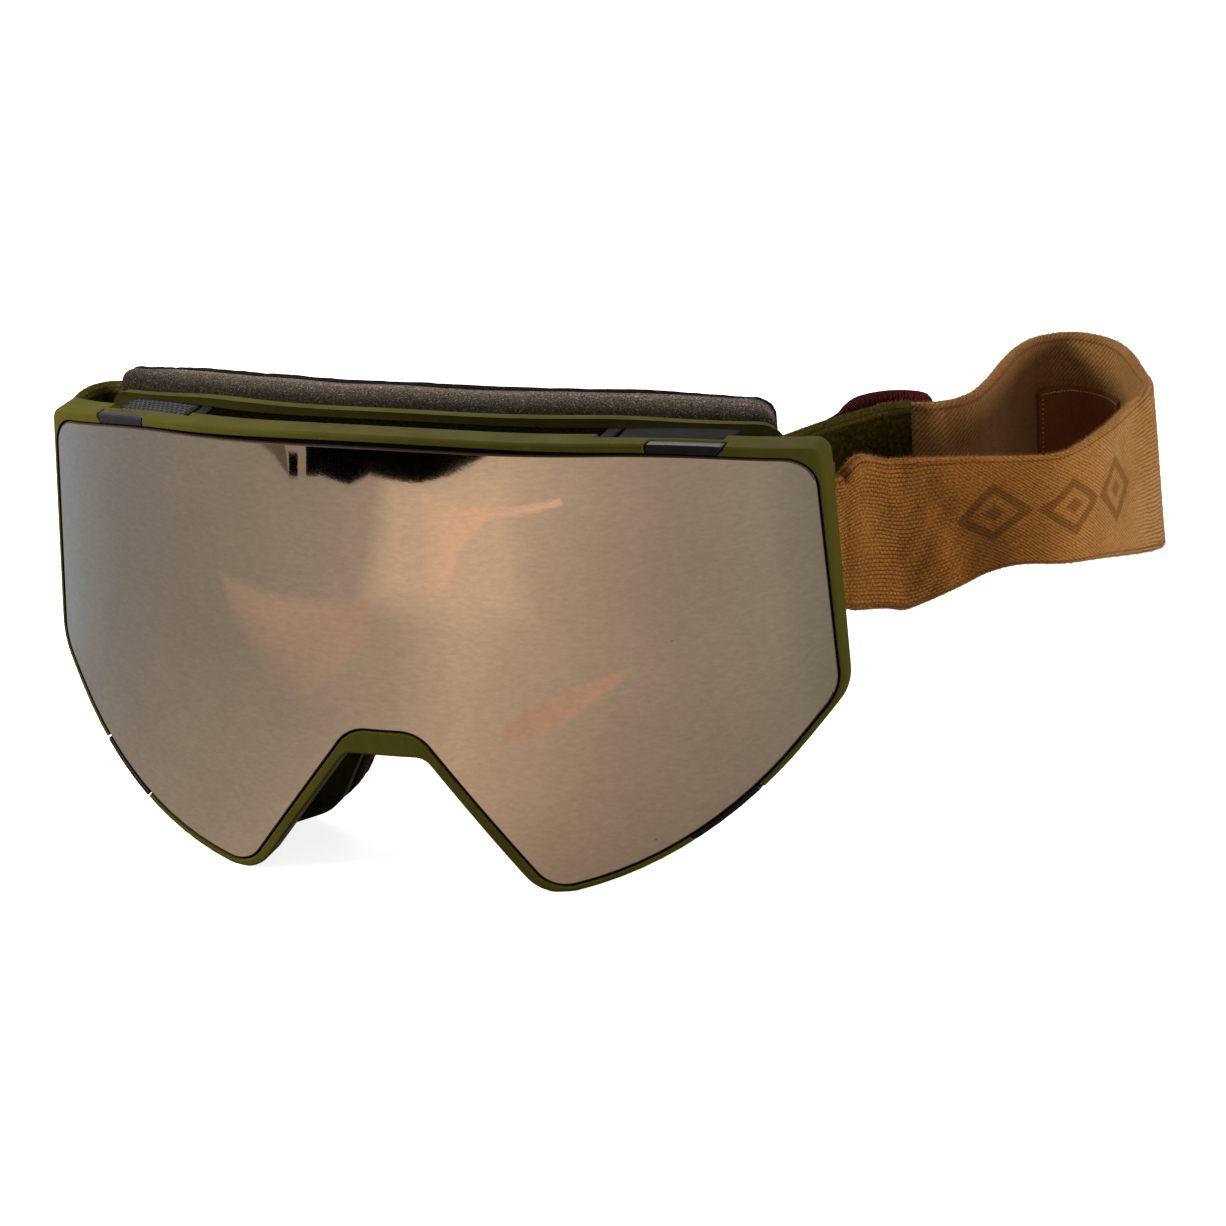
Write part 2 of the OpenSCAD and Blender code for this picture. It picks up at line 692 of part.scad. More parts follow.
webbing_start = [[84, 104.4, 12.8, 50.2, 0], [87.4, 105.4, 12.8, 50.6, 0], [88.8, 108.2, 12.8, 50.8, 0],
    [86, 110.8, 12.8, 50.8, 0], [81, 111, 12.8, 50.8, 0], [76.6, 108.4, 12.8, 50.8, 0],
    [73.6, 103.8, 12.8, 50.8, 0], [72.6, 98, 12.8, 50.6, 0], [72.2, 92, 12.8, 50.2, 0],
    [68.9, 85.4, 12.8, 49.2, 0], [65.4, 78.2, 12.8, 48.6, 0], [62.6, 72, 12.8, 48.6, 0],
    [59.4, 68.2, 12.8, 49.6, 0]];
slider_travel = 7;
straight = slider_travel + slider_l / 2 + past;

function glide(a, b, c, d, t) = 0.5 * (2 * b + (c - a) * t + (2 * a - 5 * b + 4 * c - d) * t * t
    + (3 * b - a - 3 * c + d) * t * t * t);
// A smooth line through the rows of a route
function smooth(route, steps) = let(n = len(route)) concat(
    [for (i = [0 : n - 2], k = [0 : steps - 1])
        glide(route[max(i - 1, 0)], route[i], route[i + 1], route[min(i + 2, n - 1)], k / steps)],
    [route[n - 1]]);
function plan_dir(rows, i) = let(a = rows[max(i - 1, 0)], b = rows[min(i + 1, len(rows) - 1)])
    unit([b[0] - a[0], b[1] - a[1]]);

// Points of one cross-section: up the left face and down the right face
function band_section(rows, i, t, off, levels) = let(r = rows[i], side = left_of(plan_dir(rows, i)))
    concat([for (k = [0 : levels]) band_point(r, side, off + t / 2, k / levels)],
        [for (k = [levels : -1 : 0]) band_point(r, side, off - t / 2, k / levels)]);
function band_point(r, side, d, f) = let(e = d - r[4] * (1 - f))
    [r[0] + side[0] * e, r[1] + side[1] * e, r[2] + (r[3] - r[2]) * f];

// A band that stands on edge along smooth rows, moved sideways by off
module band(rows, t, off, levels) {
    m = 2 * (levels + 1);
    n = len(rows);
    polyhedron(points = [for (i = [0 : n - 1]) each band_section(rows, i, t, off, levels)],
        faces = concat([for (i = [0 : n - 2], j = [0 : m - 1])
            let(a = i * m + j, b = i * m + (j + 1) % m, c = a + m, d = b + m)
            each [[a, d, b], [a, c, d]]],
            [for (k = [0 : levels - 1]) each [[k, k + 1, m - 2 - k], [k, m - 2 - k, m - 1 - k]]],
            [for (k = [0 : levels - 1]) let(z = (n - 1) * m)
                each [[z + k, z + m - 2 - k, z + k + 1], [z + k, z + m - 1 - k, z + m - 2 - k]]]));
}

tan_rows = smooth(concat(pin_loop(), tan_route), 3);
module strap_tan() {
    color(tan) shifted() band(tan_rows, strap_t, 0, 3);
}

module strap_olive() {
    route = concat(olive_start, [run_row(-straight, 0), run_row(-straight / 2, 0), run_row(0, 0),
        run_row(straight / 2, 0), run_row(straight, 0)], olive_end,
        [for (i = [len(pin_loop()) - 1 : -1 : 0]) let(p = pin_loop()[i]) [-p[0], p[1], p[2], p[3], p[4]]]);
    color(olive) shifted() band(smooth(route, 3), strap_t, 0, 1);
}

module adjuster_webbing() {
    route = concat(webbing_start, [for (t = [-straight, 0, straight, straight + 3])
        let(r = run_row(t, webbing_off)) [r[0], r[1], 12.8, 50.2, 0]]);
    color(burgundy) shifted() band(smooth(route, 3), webbing_t, 0, 1);
}

patch_first = 70;
module strap_patch() {
    n = round(patch_l / 3.4);
    low = 17.5;
    rows = [for (i = [patch_first : patch_first + n])
        [tan_rows[i][0], tan_rows[i][1], low, low + patch_h, 0]];
    color("#4a3020") shifted() band(rows, patch_t, strap_t / 2 + seat_gap + patch_t / 2, 1);
}

module strap_slider() {
    inner = strap_t / 2 + soft_gap;
    outer = webbing_off + webbing_t / 2 + soft_gap + bar_d;
    low = run_low - soft_gap - 0.3;
    high = run_high + soft_gap + 0.3;
    rail = 2.4;
    turn_z = atan2(run_dir[1], run_dir[0]);
    color(dark_grey) shifted() translate([run_mid[0], run_mid[1], 0])
        rotate([0, 0, turn_z]) mirror([0, 1, 0]) {
        for (z = [low - rail, high]) {
            translate([-slider_l / 2, inner, z]) cube([slider_l, outer - inner, rail]);
        }
        translate([0, inner + bar_d / 2, low - past / 2])
            cylinder(d = bar_d, h = high - low + past, $fn = 32);
        for (s = [-1, 1]) {
            translate([s * (slider_l - bar_d) / 2, outer - bar_d / 2, low - past / 2])
                cylinder(d = bar_d, h = high - low + past, $fn = 32);
        }
    }
}

frame_rim();
face_frame();
vent_plate_left();
vent_plate_right();
vent_tile_left();
vent_tile_right();
vent_foam_top();
vent_foam_low_left();
vent_foam_low_right();
face_foam_base();
face_foam_mid();
face_fleece();
frame_discs();
strap_pin_left();
strap_pin_right();
strap_olive();
strap_tan();
strap_patch();
adjuster_webbing();
strap_slider();
outer_lens();
inner_lens();
lens_gasket();
lens_carrier();
lens_magnets();
lens_tab_top_left();
lens_tab_top_right();
lens_tab_low_left();
lens_tab_low_right();
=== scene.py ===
"""Snow goggles: the looks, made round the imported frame. Sizes below are millimetres, with Y measured from the
front of the lens, and laid() brings them into the frame in metres."""

import math
import random

import bmesh
import bpy
import numpy as np
from mathutils import Matrix, Vector, geometry, noise


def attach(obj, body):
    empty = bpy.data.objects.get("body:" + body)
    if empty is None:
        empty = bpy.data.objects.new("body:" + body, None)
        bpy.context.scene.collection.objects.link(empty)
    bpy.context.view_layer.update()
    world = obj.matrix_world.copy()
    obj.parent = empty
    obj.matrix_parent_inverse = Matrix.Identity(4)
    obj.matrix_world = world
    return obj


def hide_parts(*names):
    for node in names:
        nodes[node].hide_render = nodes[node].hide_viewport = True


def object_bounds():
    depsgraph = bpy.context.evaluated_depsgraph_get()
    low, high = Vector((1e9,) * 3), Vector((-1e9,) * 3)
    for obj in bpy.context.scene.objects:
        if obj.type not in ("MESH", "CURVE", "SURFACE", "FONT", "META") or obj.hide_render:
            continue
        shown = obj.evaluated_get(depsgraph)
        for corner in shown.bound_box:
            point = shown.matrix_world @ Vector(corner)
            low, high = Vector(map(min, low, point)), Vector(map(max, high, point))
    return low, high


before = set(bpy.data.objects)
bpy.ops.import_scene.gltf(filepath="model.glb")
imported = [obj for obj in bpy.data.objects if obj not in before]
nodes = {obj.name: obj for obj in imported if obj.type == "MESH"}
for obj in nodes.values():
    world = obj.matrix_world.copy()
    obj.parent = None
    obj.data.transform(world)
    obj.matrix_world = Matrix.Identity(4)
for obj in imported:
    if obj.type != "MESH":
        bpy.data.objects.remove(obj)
scene = bpy.context.scene
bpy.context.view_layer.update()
MM = 0.001

# Lens outline: the right half, clockwise from the crown, each corner with its fillet
LENS_HALF = [(0, 66.2, 350), (57, 63.4, 150), (83.5, 57.8, 7.5), (86.8, 7.8, 10), (63.9, -21.4, 75),
             (33.6, -28.4, 7.5), (7.6, 5.5, 8)]
ARC_STEPS = 12
SPAN_L = 1.6
LEAST_FILLET = 0.6
BRIDGE_Y = 3.3
FILLET_SHARE = 0.98
TOP_Z = 40
JAW_NEAR = 9

# Lens unit
LENS_R = 120
LENS_T = 1.3
BOND = 0.1
CARRIER_T = 2.2
CARRIER_W = 4
CARRIER_OUT = 0.25
CARRIER_RISE = 1.3
CARRIER_ROUND = 0.25
INNER_T = 0.8
GASKET_W = 3.2
GASKET_ROUND = 0.5
SOFT_GAP = 0.25
TAB_X = 61.2
TAB_L = 14
LOW_TAB_L = 14.4
TAB_MORE = 0.22
TAB_ROUND = 0.35
TAB_SPANS = 22
TAB_SHORT = 0.1
LOW_TAB_H = 1.2
LOW_TAB_TURN = 4.5
TAB_DEPTH = 2.4

# Outer frame
LENS_GAP = 0.3
RIM_PROUD = 0.2
RIM_TOP = 2.4
RIM_RISE = 0.6
RIM_CORNER_R = 3.4
RIM_SIDE = 1.5
RIM_LOW = 1.6
RIM_FLANK = 2.5
RIM_NOSE = 5.5
RIM_ROUND = 0.6
RIM_BACK_ROUND = 0.3
LIP_T = 1.6
LEDGE_DEPTH = 6.8
LEDGE_R = 114
PLATE_LEDGE = 4.8
STEP_ROOM = 0.4
NOTCH_ROUND = 0.45
NOTCH_EDGE = 0.02
POCKET_EDGE = [(0.22, 0), (0.07, 0.07), (0, 0.22)]
POCKET_TIGHT = 0.15
RING_OVERLAP = 0.35
BACK_OVERLAP = 0.25
LIP_OVERLAP = 0.4
RIM_END = 42
TAB_GAP = 0.5

# Face frame and vents
WALL_SIDE_IN = 11.5
WALL_CHEEK_IN = 9
FLANGE_DEPTH = 21
FLANGE_T = 3.5
FLANGE_W = 12
FLANGE_OVERLAP = 0.6
LOOKS_FORWARD = -0.5
WINDOW_PITCH = 14
VENT_FOAM_T = 1.9
VENT_FOAM_X = 42.6
VENT_FOAM_ROUND = 0.5
CHEEK_VENT_IN = 8
CHEEK_VENT_SPANS = 30
CHEEK_VENT_ROUND = 0.6
TILE_IN = 43
TILE_L = 2.8
SLIT_W = 0.7
PLATE_L = 20.5
PLATE_T = 2
PLATE_ROUND = 0.4
TILE_ROUND = 0.35
SEAT_GAP = 0.1
DIMPLE_ROWS = 5
DIMPLE_COLUMNS = 13
DIMPLE_MARGIN = 1.6

# Face foam
SEAT_FLOOR = 0.3
SEAT_TOP_Z = 68.4
SEAT_X = 73.4
FOAM_W = 13
FOAM_T = 6
FLEECE_T = 4.8
FOAM_RISE = 2.8
FOAM_SETTLE = 8
FOAM_FADE = 0.38
FADE_X = 28
FADE_W = 45
FOAM_LEAN = 2.6
LEAN_FROM = 20
LEAN_OVER = 30
FOAM_SMOOTH = 80
BASE_TUCK = 1.6
MID_TUCK = 0.8
SIDE_SPANS = 8
FACE_SPANS = 6
SEAT_WIDTHS = [1, 1, 0.9, 0.95, 1, 0.8, 0.66, 0.66]
SEAT_RISES = [0.65, 1, 0, 0, 0, 0, 0, 0]
FOAM_ROUGH = [(0.9, 0.07), (14, 0.25)]
FLEECE_ROUGH = [(0.9, 0.16), (9, 0.14)]

# Straps
STRAP_T = 2
WEBBING_T = 1.8
WEBBING_LOW = 12.8
WEBBING_HIGH = 50.2
PATCH_T = 0.8
PATCH_L = 32
PATCH_H = 22
PATCH_LOW = 17.5
STITCH_IN = 1.2
STITCH_LOW = 0.045
STITCH_PROUD = 0.02
RUN_STITCHES = 26
END_STITCHES = 18
PIN_D = 3
PIN_X = 81.4
PIN_ROOM = 0.3
STRAP_LOW = 22
STRAP_HIGH = 50.8
RUN_LOW = 11.8
RUN_HIGH = 51.8
SLIDER_L = 10
BAR_D = 2
RAIL_H = 2.4
RAIL_ROUND = 0.7
RAIL_GAP = 0.3
BAR_OVER = 0.4
SLIDER_TRAVEL = 7

LENS_FRONT = LENS_R - LENS_T - BOND
CARRIER_BACK = LENS_FRONT - CARRIER_T
LIP_FRONT = CARRIER_BACK - BOND - INNER_T - LENS_GAP
LIP_BACK = LIP_FRONT - LIP_T
FLANGE_FRONT = FLANGE_DEPTH - FLANGE_T
FOAM_FRONT = FLANGE_DEPTH + SEAT_GAP
PLATE_IN = TILE_IN + TILE_L + SLIT_W


# Outlines

def turn(u, w):
    return u[0] * w[1] - u[1] * w[0]


def left_of(u):
    return Vector((-u[1], u[0]))


def unit(v):
    return Vector(v).normalized()


def mirrored(half):
    """The whole outline's corners from those of its right half."""
    return half + [(-x, z, r) for x, z, r in reversed(half[1:])]


def all_edges(half):
    return list(half) + list(half[-2::-1])


def spun(v, a):
    return Vector((v[0] * math.cos(a) - v[1] * math.sin(a), v[0] * math.sin(a) + v[1] * math.cos(a)))


def corner_turn(corners, i):
    """A corner, the directions into and out of it, and the angle between them."""
    p = Vector(corners[i][:2])
    u = unit(p - Vector(corners[i - 1][:2]))
    w = unit(Vector(corners[(i + 1) % len(corners)][:2]) - p)
    return p, u, w, math.acos(max(-1, min(1, u.dot(w))))


def grown(corners, out):
    """Moves each edge of an outline outwards by its own distance, or all by one."""
    count = len(corners)
    edges = [out] * count if isinstance(out, (int, float)) else out
    made = []
    for i in range(count):
        p, u, w = corner_turn(corners, i)[:3]
        a = p + left_of(u) * edges[i - 1]
        b = p + left_of(w) * edges[i]
        q = a + u * (turn(b - a, w) / turn(u, w))
        r = corners[i][2] - math.copysign(1, turn(u, w)) * (edges[i - 1] + edges[i]) / 2
        made.append((q.x, q.y, max(r, LEAST_FILLET)))
    return made


def raised(corners, rise):
    """The same outline with its crown higher."""
    return [(x, z + (rise if i == 0 else 0), r) for i, (x, z, r) in enumerate(corners)]


def tangent(corners, i):
    return corners[i][2] * math.tan(corner_turn(corners, i)[3] / 2)


def edge_share(corners, i, j):
    gap = (Vector(corners[i][:2]) - Vector(corners[j][:2])).length
    return FILLET_SHARE * gap / (tangent(corners, i) + tangent(corners, j))


def fillets(corners):
    """Each corner's arc as points."""
    count = len(corners)
    arcs = []
    for i in range(count):
        p, u, w, angle = corner_turn(corners, i)
        shares = [edge_share(corners, i - 1, i), edge_share(corners, i, (i + 1) % count)]
        t = tangent(corners, i) * min(1, *shares)
        r = t / math.tan(angle / 2)
        s = -1 if turn(u, w) < 0 else 1
        start = p - u * t
        centre = start + left_of(u) * s * r
        arcs.append([centre + spun(start - centre, s * angle * k / ARC_STEPS) for k in range(ARC_STEPS + 1)])
    return arcs


def edge_spans(corners):
    """How many spans each straight of an outline is cut into."""
    arcs = fillets(corners)
    gaps = [(arcs[(i + 1) % len(arcs)][0] - arcs[i][-1]).length for i in range(len(arcs))]
    return [max(1, round(gap / SPAN_L)) for gap in gaps]


def outline(corners, spans):
    """Points along an outline: its arcs, and its straights cut into spans."""
    arcs = fillets(corners)
    points = []
    for i, arc in enumerate(arcs):
        goal = arcs[(i + 1) % len(arcs)][0]
        points += arc
        points += [arc[-1].lerp(goal, k / spans[i]) for k in range(1, spans[i])]
    return np.array([tuple(p) for p in points])


def at(line, places):
    """Points of a closed line at places counted in its own points."""
    n = len(line)
    low = np.floor(places).astype(int)
    part = (np.asarray(places) - low)[:, None]
    return line[low % n] * (1 - part) + line[(low + 1) % n] * part


def lens_edges(top, side, cheek, low, flank, nose):
    return all_edges([top, top, side, cheek, low, flank, nose])


lens_corners = mirrored(LENS_HALF)
carrier_corners = raised(grown(lens_corners, CARRIER_OUT), CARRIER_RISE)
pocket_corners = grown(carrier_corners, LENS_GAP)
rim_edges = lens_edges(RIM_TOP, RIM_SIDE, RIM_LOW, RIM_LOW, RIM_FLANK, RIM_NOSE)
rim_corners = raised(grown(lens_corners, rim_edges), RIM_RISE)
rim_corners = [(x, z, RIM_CORNER_R if z > TOP_Z and abs(x) > TAB_X else r) for x, z, r in rim_corners]
wall_corners = grown(lens_corners, lens_edges(-1, -WALL_SIDE_IN, -WALL_CHEEK_IN, -1, -1, -1))
lens_spans = edge_spans(lens_corners)
lens_line = outline(lens_corners, lens_spans)
rim_line = outline(rim_corners, lens_spans)
floor_z = min(rim_line[:, 1]) + SEAT_FLOOR
seat_half = [(0, SEAT_TOP_Z, 300), (45, SEAT_TOP_Z - 1.6, 120), (SEAT_X - 0.5, SEAT_TOP_Z - 6.3, 4),
             (SEAT_X + 2, 14, 24), (54, floor_z, 26), (38, floor_z, 12), (18.5, -20.2, 12), (9.5, -1.7, 8)]
seat_corners = mirrored(seat_half)
seat_spans = edge_spans(seat_corners)


def core(x, r):
    """Depth of the face at radius r about the lens's own axis."""
    return LENS_R - np.sqrt(r * r - x * x)


def behind(x, depth, r):
    """Depth of a cylinder face of radius r whose apex is at a depth."""
    return depth + r - np.sqrt(r * r - x * x)


def lens_face(r):
    return lambda x: core(x, r)


def ledge_side(x):
    """Front of the room for what lies on the wall."""
    return behind(x, LEDGE_DEPTH + LENS_GAP, LEDGE_R)


def flange_side(x):
    """Back of the room for what lies on the wall."""
    return behind(x, FLANGE_FRONT - SOFT_GAP, LENS_R)


# Meshes

SMOOTH = 35
WELD = 0.002
NODE_SMOOTH = 30
NODE_WELD = 0.001
BAR_END = [(0, 1), (0.1, 0.56), (0.35, 0.24), (1, 0)]
BAR_END_CLEAR = 1.3
LEAST_ROUND = 0.3
OVER_HALF = 2.02
FILL_NEAR = 1e-5


def laid(points):
    """Points in millimetres brought into the frame."""
    return (np.asarray(points, float).reshape(-1, 3) - (0, BRIDGE_Y, 0)) * MM


def linked(name, data):
    """A new object in the scene."""
    made = bpy.data.objects.new(name, data)
    scene.collection.objects.link(made)
    return made


def shaded(data, smooth=SMOOTH):
    data.shade_smooth()
    data.set_sharp_from_angle(angle=math.radians(smooth))


def welded(data, smooth, weld, outwards=True):
    """Merges what lies on the same spot, turns the faces out if asked, and marks the sharp edges."""
    work = bmesh.new()
    work.from_mesh(data)
    if weld:
        bmesh.ops.remove_doubles(work, verts=work.verts, dist=weld * MM)
        bmesh.ops.dissolve_degenerate(work, edges=work.edges, dist=weld * MM / 2)
    if outwards:
        bmesh.ops.recalc_face_normals(work, faces=work.faces)
    work.to_mesh(data)
    work.free()
    shaded(data, smooth)


def mesh_object(name, points, faces, smooth=SMOOTH, weld=WELD):
    data = bpy.data.meshes.new(name)
    data.from_pydata([tuple(p) for p in laid(points)], [], [tuple(int(i) for i in f) for f in faces])
    welded(data, smooth, weld)
    return linked(name, data)


def joined(name, parts):
    """Several objects' meshes as one object."""
    data = bpy.data.meshes.new(name)
    work = bmesh.new()
    for part in parts:
        work.from_mesh(part.data)
    work.to_mesh(data)
    work.free()
    shaded(data)
    for part in parts:
        bpy.data.objects.remove(part)
    return linked(name, data)


def evened(piece):
    """Shades the large faces flat and keeps the turn to the round edges."""
    modifier = piece.modifiers.new("even_shading", "WEIGHTED_NORMAL")
    modifier.keep_sharp = True
    return piece


def loop_faces(rows, n, wrap=True):
    """Quads between rows of n points, each row a closed line."""
    made = []
    for j in range(rows if wrap else rows - 1):
        k = (j + 1) % rows
        for i in range(n):
            h = (i + 1) % n
            made.append((j * n + i, j * n + h, k * n + h, k * n + i))
    return made


def tube_faces(rows, n):
    """Quads between rows of n points, closed at both ends."""
    ends = [tuple(range(n - 1, -1, -1)), tuple(range((rows - 1) * n, rows * n))]
    return loop_faces(rows, n, wrap=False) + ends


def ring_object(name, rows, smooth=SMOOTH):
    """A closed skin through rows that all run round the ring."""
    return mesh_object(name, np.concatenate(rows), loop_faces(len(rows), len(rows[0])), smooth)


def ring_row(line, depth):
    """A row of points along an outline, at a depth that may vary."""
    return np.column_stack((line[:, 0], depth, line[:, 1]))


def quarter(radius, steps=4):
    """A quarter round as pairs: how far short of the side, and how far short of the face."""
    return [(radius * (1 - math.sin(a)), radius * (1 - math.cos(a)))
            for a in (math.pi / 2 * k / steps for k in range(steps + 1))]


def point_values(data, name, values):
    held = data.attributes.new(name, "FLOAT", "POINT")
    held.data.foreach_set("value", values.astype(np.float32))


def round_edge(corners, way, radius, steps, flip=False):
    """Outlines round an edge, each with how far short of the face it lies. way is -1 outside a ring."""
    pairs = quarter(radius, steps)
    return [(grown(corners, way * side), face) for side, face in (reversed(pairs) if flip else pairs)]


def rounded_box(width, depth, radius, steps=3):
    """Points round a rectangle with rounded corners, from zero to width and from zero to depth."""
    r = min(radius, width / OVER_HALF, depth / OVER_HALF)
    points = []
    for k, (cx, cy) in enumerate([(width - r, depth - r), (r, depth - r), (r, r), (width - r, r)]):
        for s in range(steps + 1):
            a = math.pi / 2 * (k + s / steps)
            points.append((cx + r * math.cos(a), cy + r * math.sin(a)))
    return points


def run_along(rows):
    """Distances along a line of points."""
    return np.concatenate(([0], np.cumsum(np.linalg.norm(np.diff(rows[:, :2], axis=0), axis=1))))


def bar_object(name, inner, outer, places, front, back, radius):
    """A bar between two lines, from a front to a back depth, with all its edges rounded."""
    a = at(inner, places)
    b = at(outer, places)
    run = run_along(a)
    end = [(radius * s, radius * inset) for s, inset in BAR_END]
    clear = radius * BAR_END_CLEAR
    stations = end + [(s, 0.0) for s in run[1:-1] if clear < s < run[-1] - clear]
    stations += [(run[-1] - s, inset) for s, inset in reversed(end)]
    points = []
    for s, inset in stations:
        lo, hi = (np.array([np.interp(s, run, line[:, k]) for k in (0, 1)]) for line in (a, b))
        width = np.linalg.norm(hi - lo)
        depth = back(lo[0]) - front(lo[0])
        corner = max(radius - inset, radius * LEAST_ROUND)
        for h, d in rounded_box(width - 2 * inset, depth - 2 * inset, corner):
            p = lo + (hi - lo) * (h + inset) / width
            share = (d + inset) / depth
            points.append((p[0], front(p[0]) * (1 - share) + back(p[0]) * share, p[1]))
    return mesh_object(name, points, tube_faces(len(stations), len(points) // len(stations)))


def inside(points, line):
    """Which points lie inside a closed line."""
    x, z = points[:, 0], points[:, 1]
    hit = np.zeros(len(points), bool)
    for (x0, z0), (x1, z1) in zip(line, np.roll(line, -1, axis=0)):
        crosses = (z0 > z) != (z1 > z)
        with np.errstate(divide="ignore", invalid="ignore"):
            hit ^= crosses & (x < (x1 - x0) * (z - z0) / (z1 - z0) + x0)
    return hit


def filled(line, spacing, shrunk):
    """Triangles that fill a closed line, with a lattice of points inside a slightly smaller one."""
    xs, zs = (np.arange(line[:, k].min(), line[:, k].max(), spacing) for k in (0, 1))
    lattice = np.array([(x, z) for x in xs for z in zs])
    lattice = lattice[inside(lattice, shrunk)]
    flat = [Vector(p) for p in np.concatenate((line, lattice))]
    n = len(line)
    border = [(i, (i + 1) % n) for i in range(n)]
    made = geometry.delaunay_2d_cdt(flat, border, [], 1, FILL_NEAR)
    return np.array([tuple(v) for v in made[0]]), made[2]


def crossing(levels, goal, usable):
    """Where values along a closed line first reach a goal, counted in the line's points."""
    for i in range(len(levels)):
        a, b = levels[i], levels[(i + 1) % len(levels)]
        if usable[i] and (a - goal) * (b - goal) <= 0 and a != b:
            return i + (goal - a) / (b - a)
    raise ValueError(goal)


def place_at_x(line, x):
    """Where a line's top edge reaches x."""
    high = line[:, 1] > TOP_Z
    return crossing(line[:, 0], x, high & np.roll(high, -1))


def place_along(line, middle, slope, s):
    """Where the lower right of a line reaches a distance s past a middle point, along a slope."""
    way = np.array([math.cos(slope), math.sin(slope)])
    near = np.abs((line - middle) @ np.array([-way[1], way[0]])) < JAW_NEAR
    return crossing((line - middle) @ way, s, near & (line[:, 0] > 0))


def across(n, places):
    """The same places on the other side of a symmetric line of n points."""
    return [(n + ARC_STEPS - p) % n for p in reversed(places)]


# Outer frame

CHEEK, JAW, TIP = (Vector(corner[:2]) for corner in LENS_HALF[3:6])
JAW_R = LENS_HALF[4][2]
jaw_slope = math.atan2(JAW.y - TIP.y, JAW.x - TIP.x)
cheek_slope = math.atan2(CHEEK.y - JAW.y, CHEEK.x - JAW.x)
arc_slope = (jaw_slope + cheek_slope) / 2
arc_centre = JAW + spun((0, 1), arc_slope) * JAW_R / math.cos((cheek_slope - jaw_slope) / 2)
low_tab_slope = arc_slope + math.radians(LOW_TAB_TURN)
jaw_mid = np.array(arc_centre + JAW_R * Vector((math.sin(low_tab_slope), -math.cos(low_tab_slope))))


def stretches(top=(), low=()):
    """Pairs of places on both sides of the lens's line: on its top in X, and on its jaw along itself."""
    n = len(lens_line)
    right = [sorted((place_at_x(lens_line, x) % n for x in pair)) for pair in top]
    right += [sorted((place_along(lens_line, jaw_mid, low_tab_slope, s) for s in pair)) for pair in low]
    return right + [across(n, pair) for pair in right]


def within(places, pairs):
    held = np.zeros(len(places), bool)
    for a, b in pairs:
        held |= (places > a) & (places < b)
    return held


def rim_ring():
    """The ring round the lens, with room for the tabs and a step in front of the vent plates."""
    n = len(rim_line)
    top_half = TAB_L / 2 + TAB_GAP
    low_half = LOW_TAB_L / 2 + TAB_GAP
    notches = stretches([(TAB_X - top_half, TAB_X + top_half)], [(-low_half, low_half)])
    steps = stretches([(TILE_IN - STEP_ROOM, PLATE_IN + PLATE_L + STEP_ROOM)])
    gaps = np.linalg.norm(np.roll(rim_line, -1, axis=0) - rim_line, axis=1)
    places = [np.arange(n)]
    for p in (p for pair in notches + steps for p in pair):
        wide = NOTCH_ROUND / gaps[int(p)]
        places.append(np.array([p - wide, p - NOTCH_EDGE, p + NOTCH_EDGE, p + wide]))
    places = np.unique(np.concatenate(places) % n)
    outer_x = at(rim_line, places)[:, 0]
    radius = np.where(within(places, notches), LENS_R - TAB_DEPTH - LENS_GAP, LENS_R + RIM_PROUD)
    step_back = np.where(within(places, steps), behind(outer_x, PLATE_LEDGE, LENS_R),
                         behind(outer_x, LEDGE_DEPTH, LEDGE_R))

    def row(corners, depth_of):
        line = at(outline(corners, lens_spans), places)
        line[:, 1] = np.maximum(line[:, 1], floor_z)
        return ring_row(line, np.minimum(depth_of(line[:, 0]), RIM_END))

    def ledge(x):
        return behind(x, LEDGE_DEPTH, LEDGE_R)

    rows = [row(grown(pocket_corners, side - POCKET_TIGHT), lens_face(radius - face))
            for face, side in POCKET_EDGE]
    rows += [row(ring, lens_face(radius - short))
             for ring, short in round_edge(rim_corners, -1, RIM_ROUND, 4)]
    rows += [row(ring, lambda x: step_back - short)
             for ring, short in round_edge(rim_corners, -1, RIM_BACK_ROUND, 3, flip=True)]
    seat = grown(pocket_corners, RING_OVERLAP)
    rows += [row(seat, lambda x: step_back), row(seat, ledge), row(pocket_corners, ledge)]
    return ring_object("rim_ring", rows)


def cutter(rows):
    """An object through rows of points, to cut another with."""
    return mesh_object("cutter", [p for row in rows for p in row], tube_faces(len(rows), len(rows[0])))


def prism(corners, y0, y1):
    """A slab with an outline."""
    line = outline(corners, edge_spans(corners))
    return cutter([[(x, y, z) for x, z in line] for y in (y0, y1)])


def drum(depth, r, z0=-45, z1=85, count=240):
    """The front of an upright cylinder whose apex is at a depth."""
    turns = [math.pi * (k / count) for k in range(count + 1)]
    return cutter([[(-r * math.cos(a), depth + r - r * math.sin(a), z) for a in turns] for z in (z0, z1)])


def node_copy(name):
    """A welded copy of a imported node's mesh."""
    made = linked(name + "_copy", nodes[name].data.copy())
    made.data.materials.clear()
    welded(made.data, NODE_SMOOTH, NODE_WELD, outwards=False)
    return made


def evaluated(piece):
    """A plain mesh of an object with its modifiers taken up."""
    graph = bpy.context.evaluated_depsgraph_get()
    return bpy.data.meshes.new_from_object(piece.evaluated_get(graph))


def cut(piece, tool, way):
    """A boolean of a piece with a cutter, which is then gone."""
    modifier = piece.modifiers.new("cut", "BOOLEAN")
    modifier.operation = way
    modifier.solver = "EXACT"
    modifier.object = tool
    data = evaluated(piece)
    piece.modifiers.clear()
    piece.data = data
    bpy.data.objects.remove(tool)
    welded(data, NODE_SMOOTH, NODE_WELD, outwards=False)
    return piece


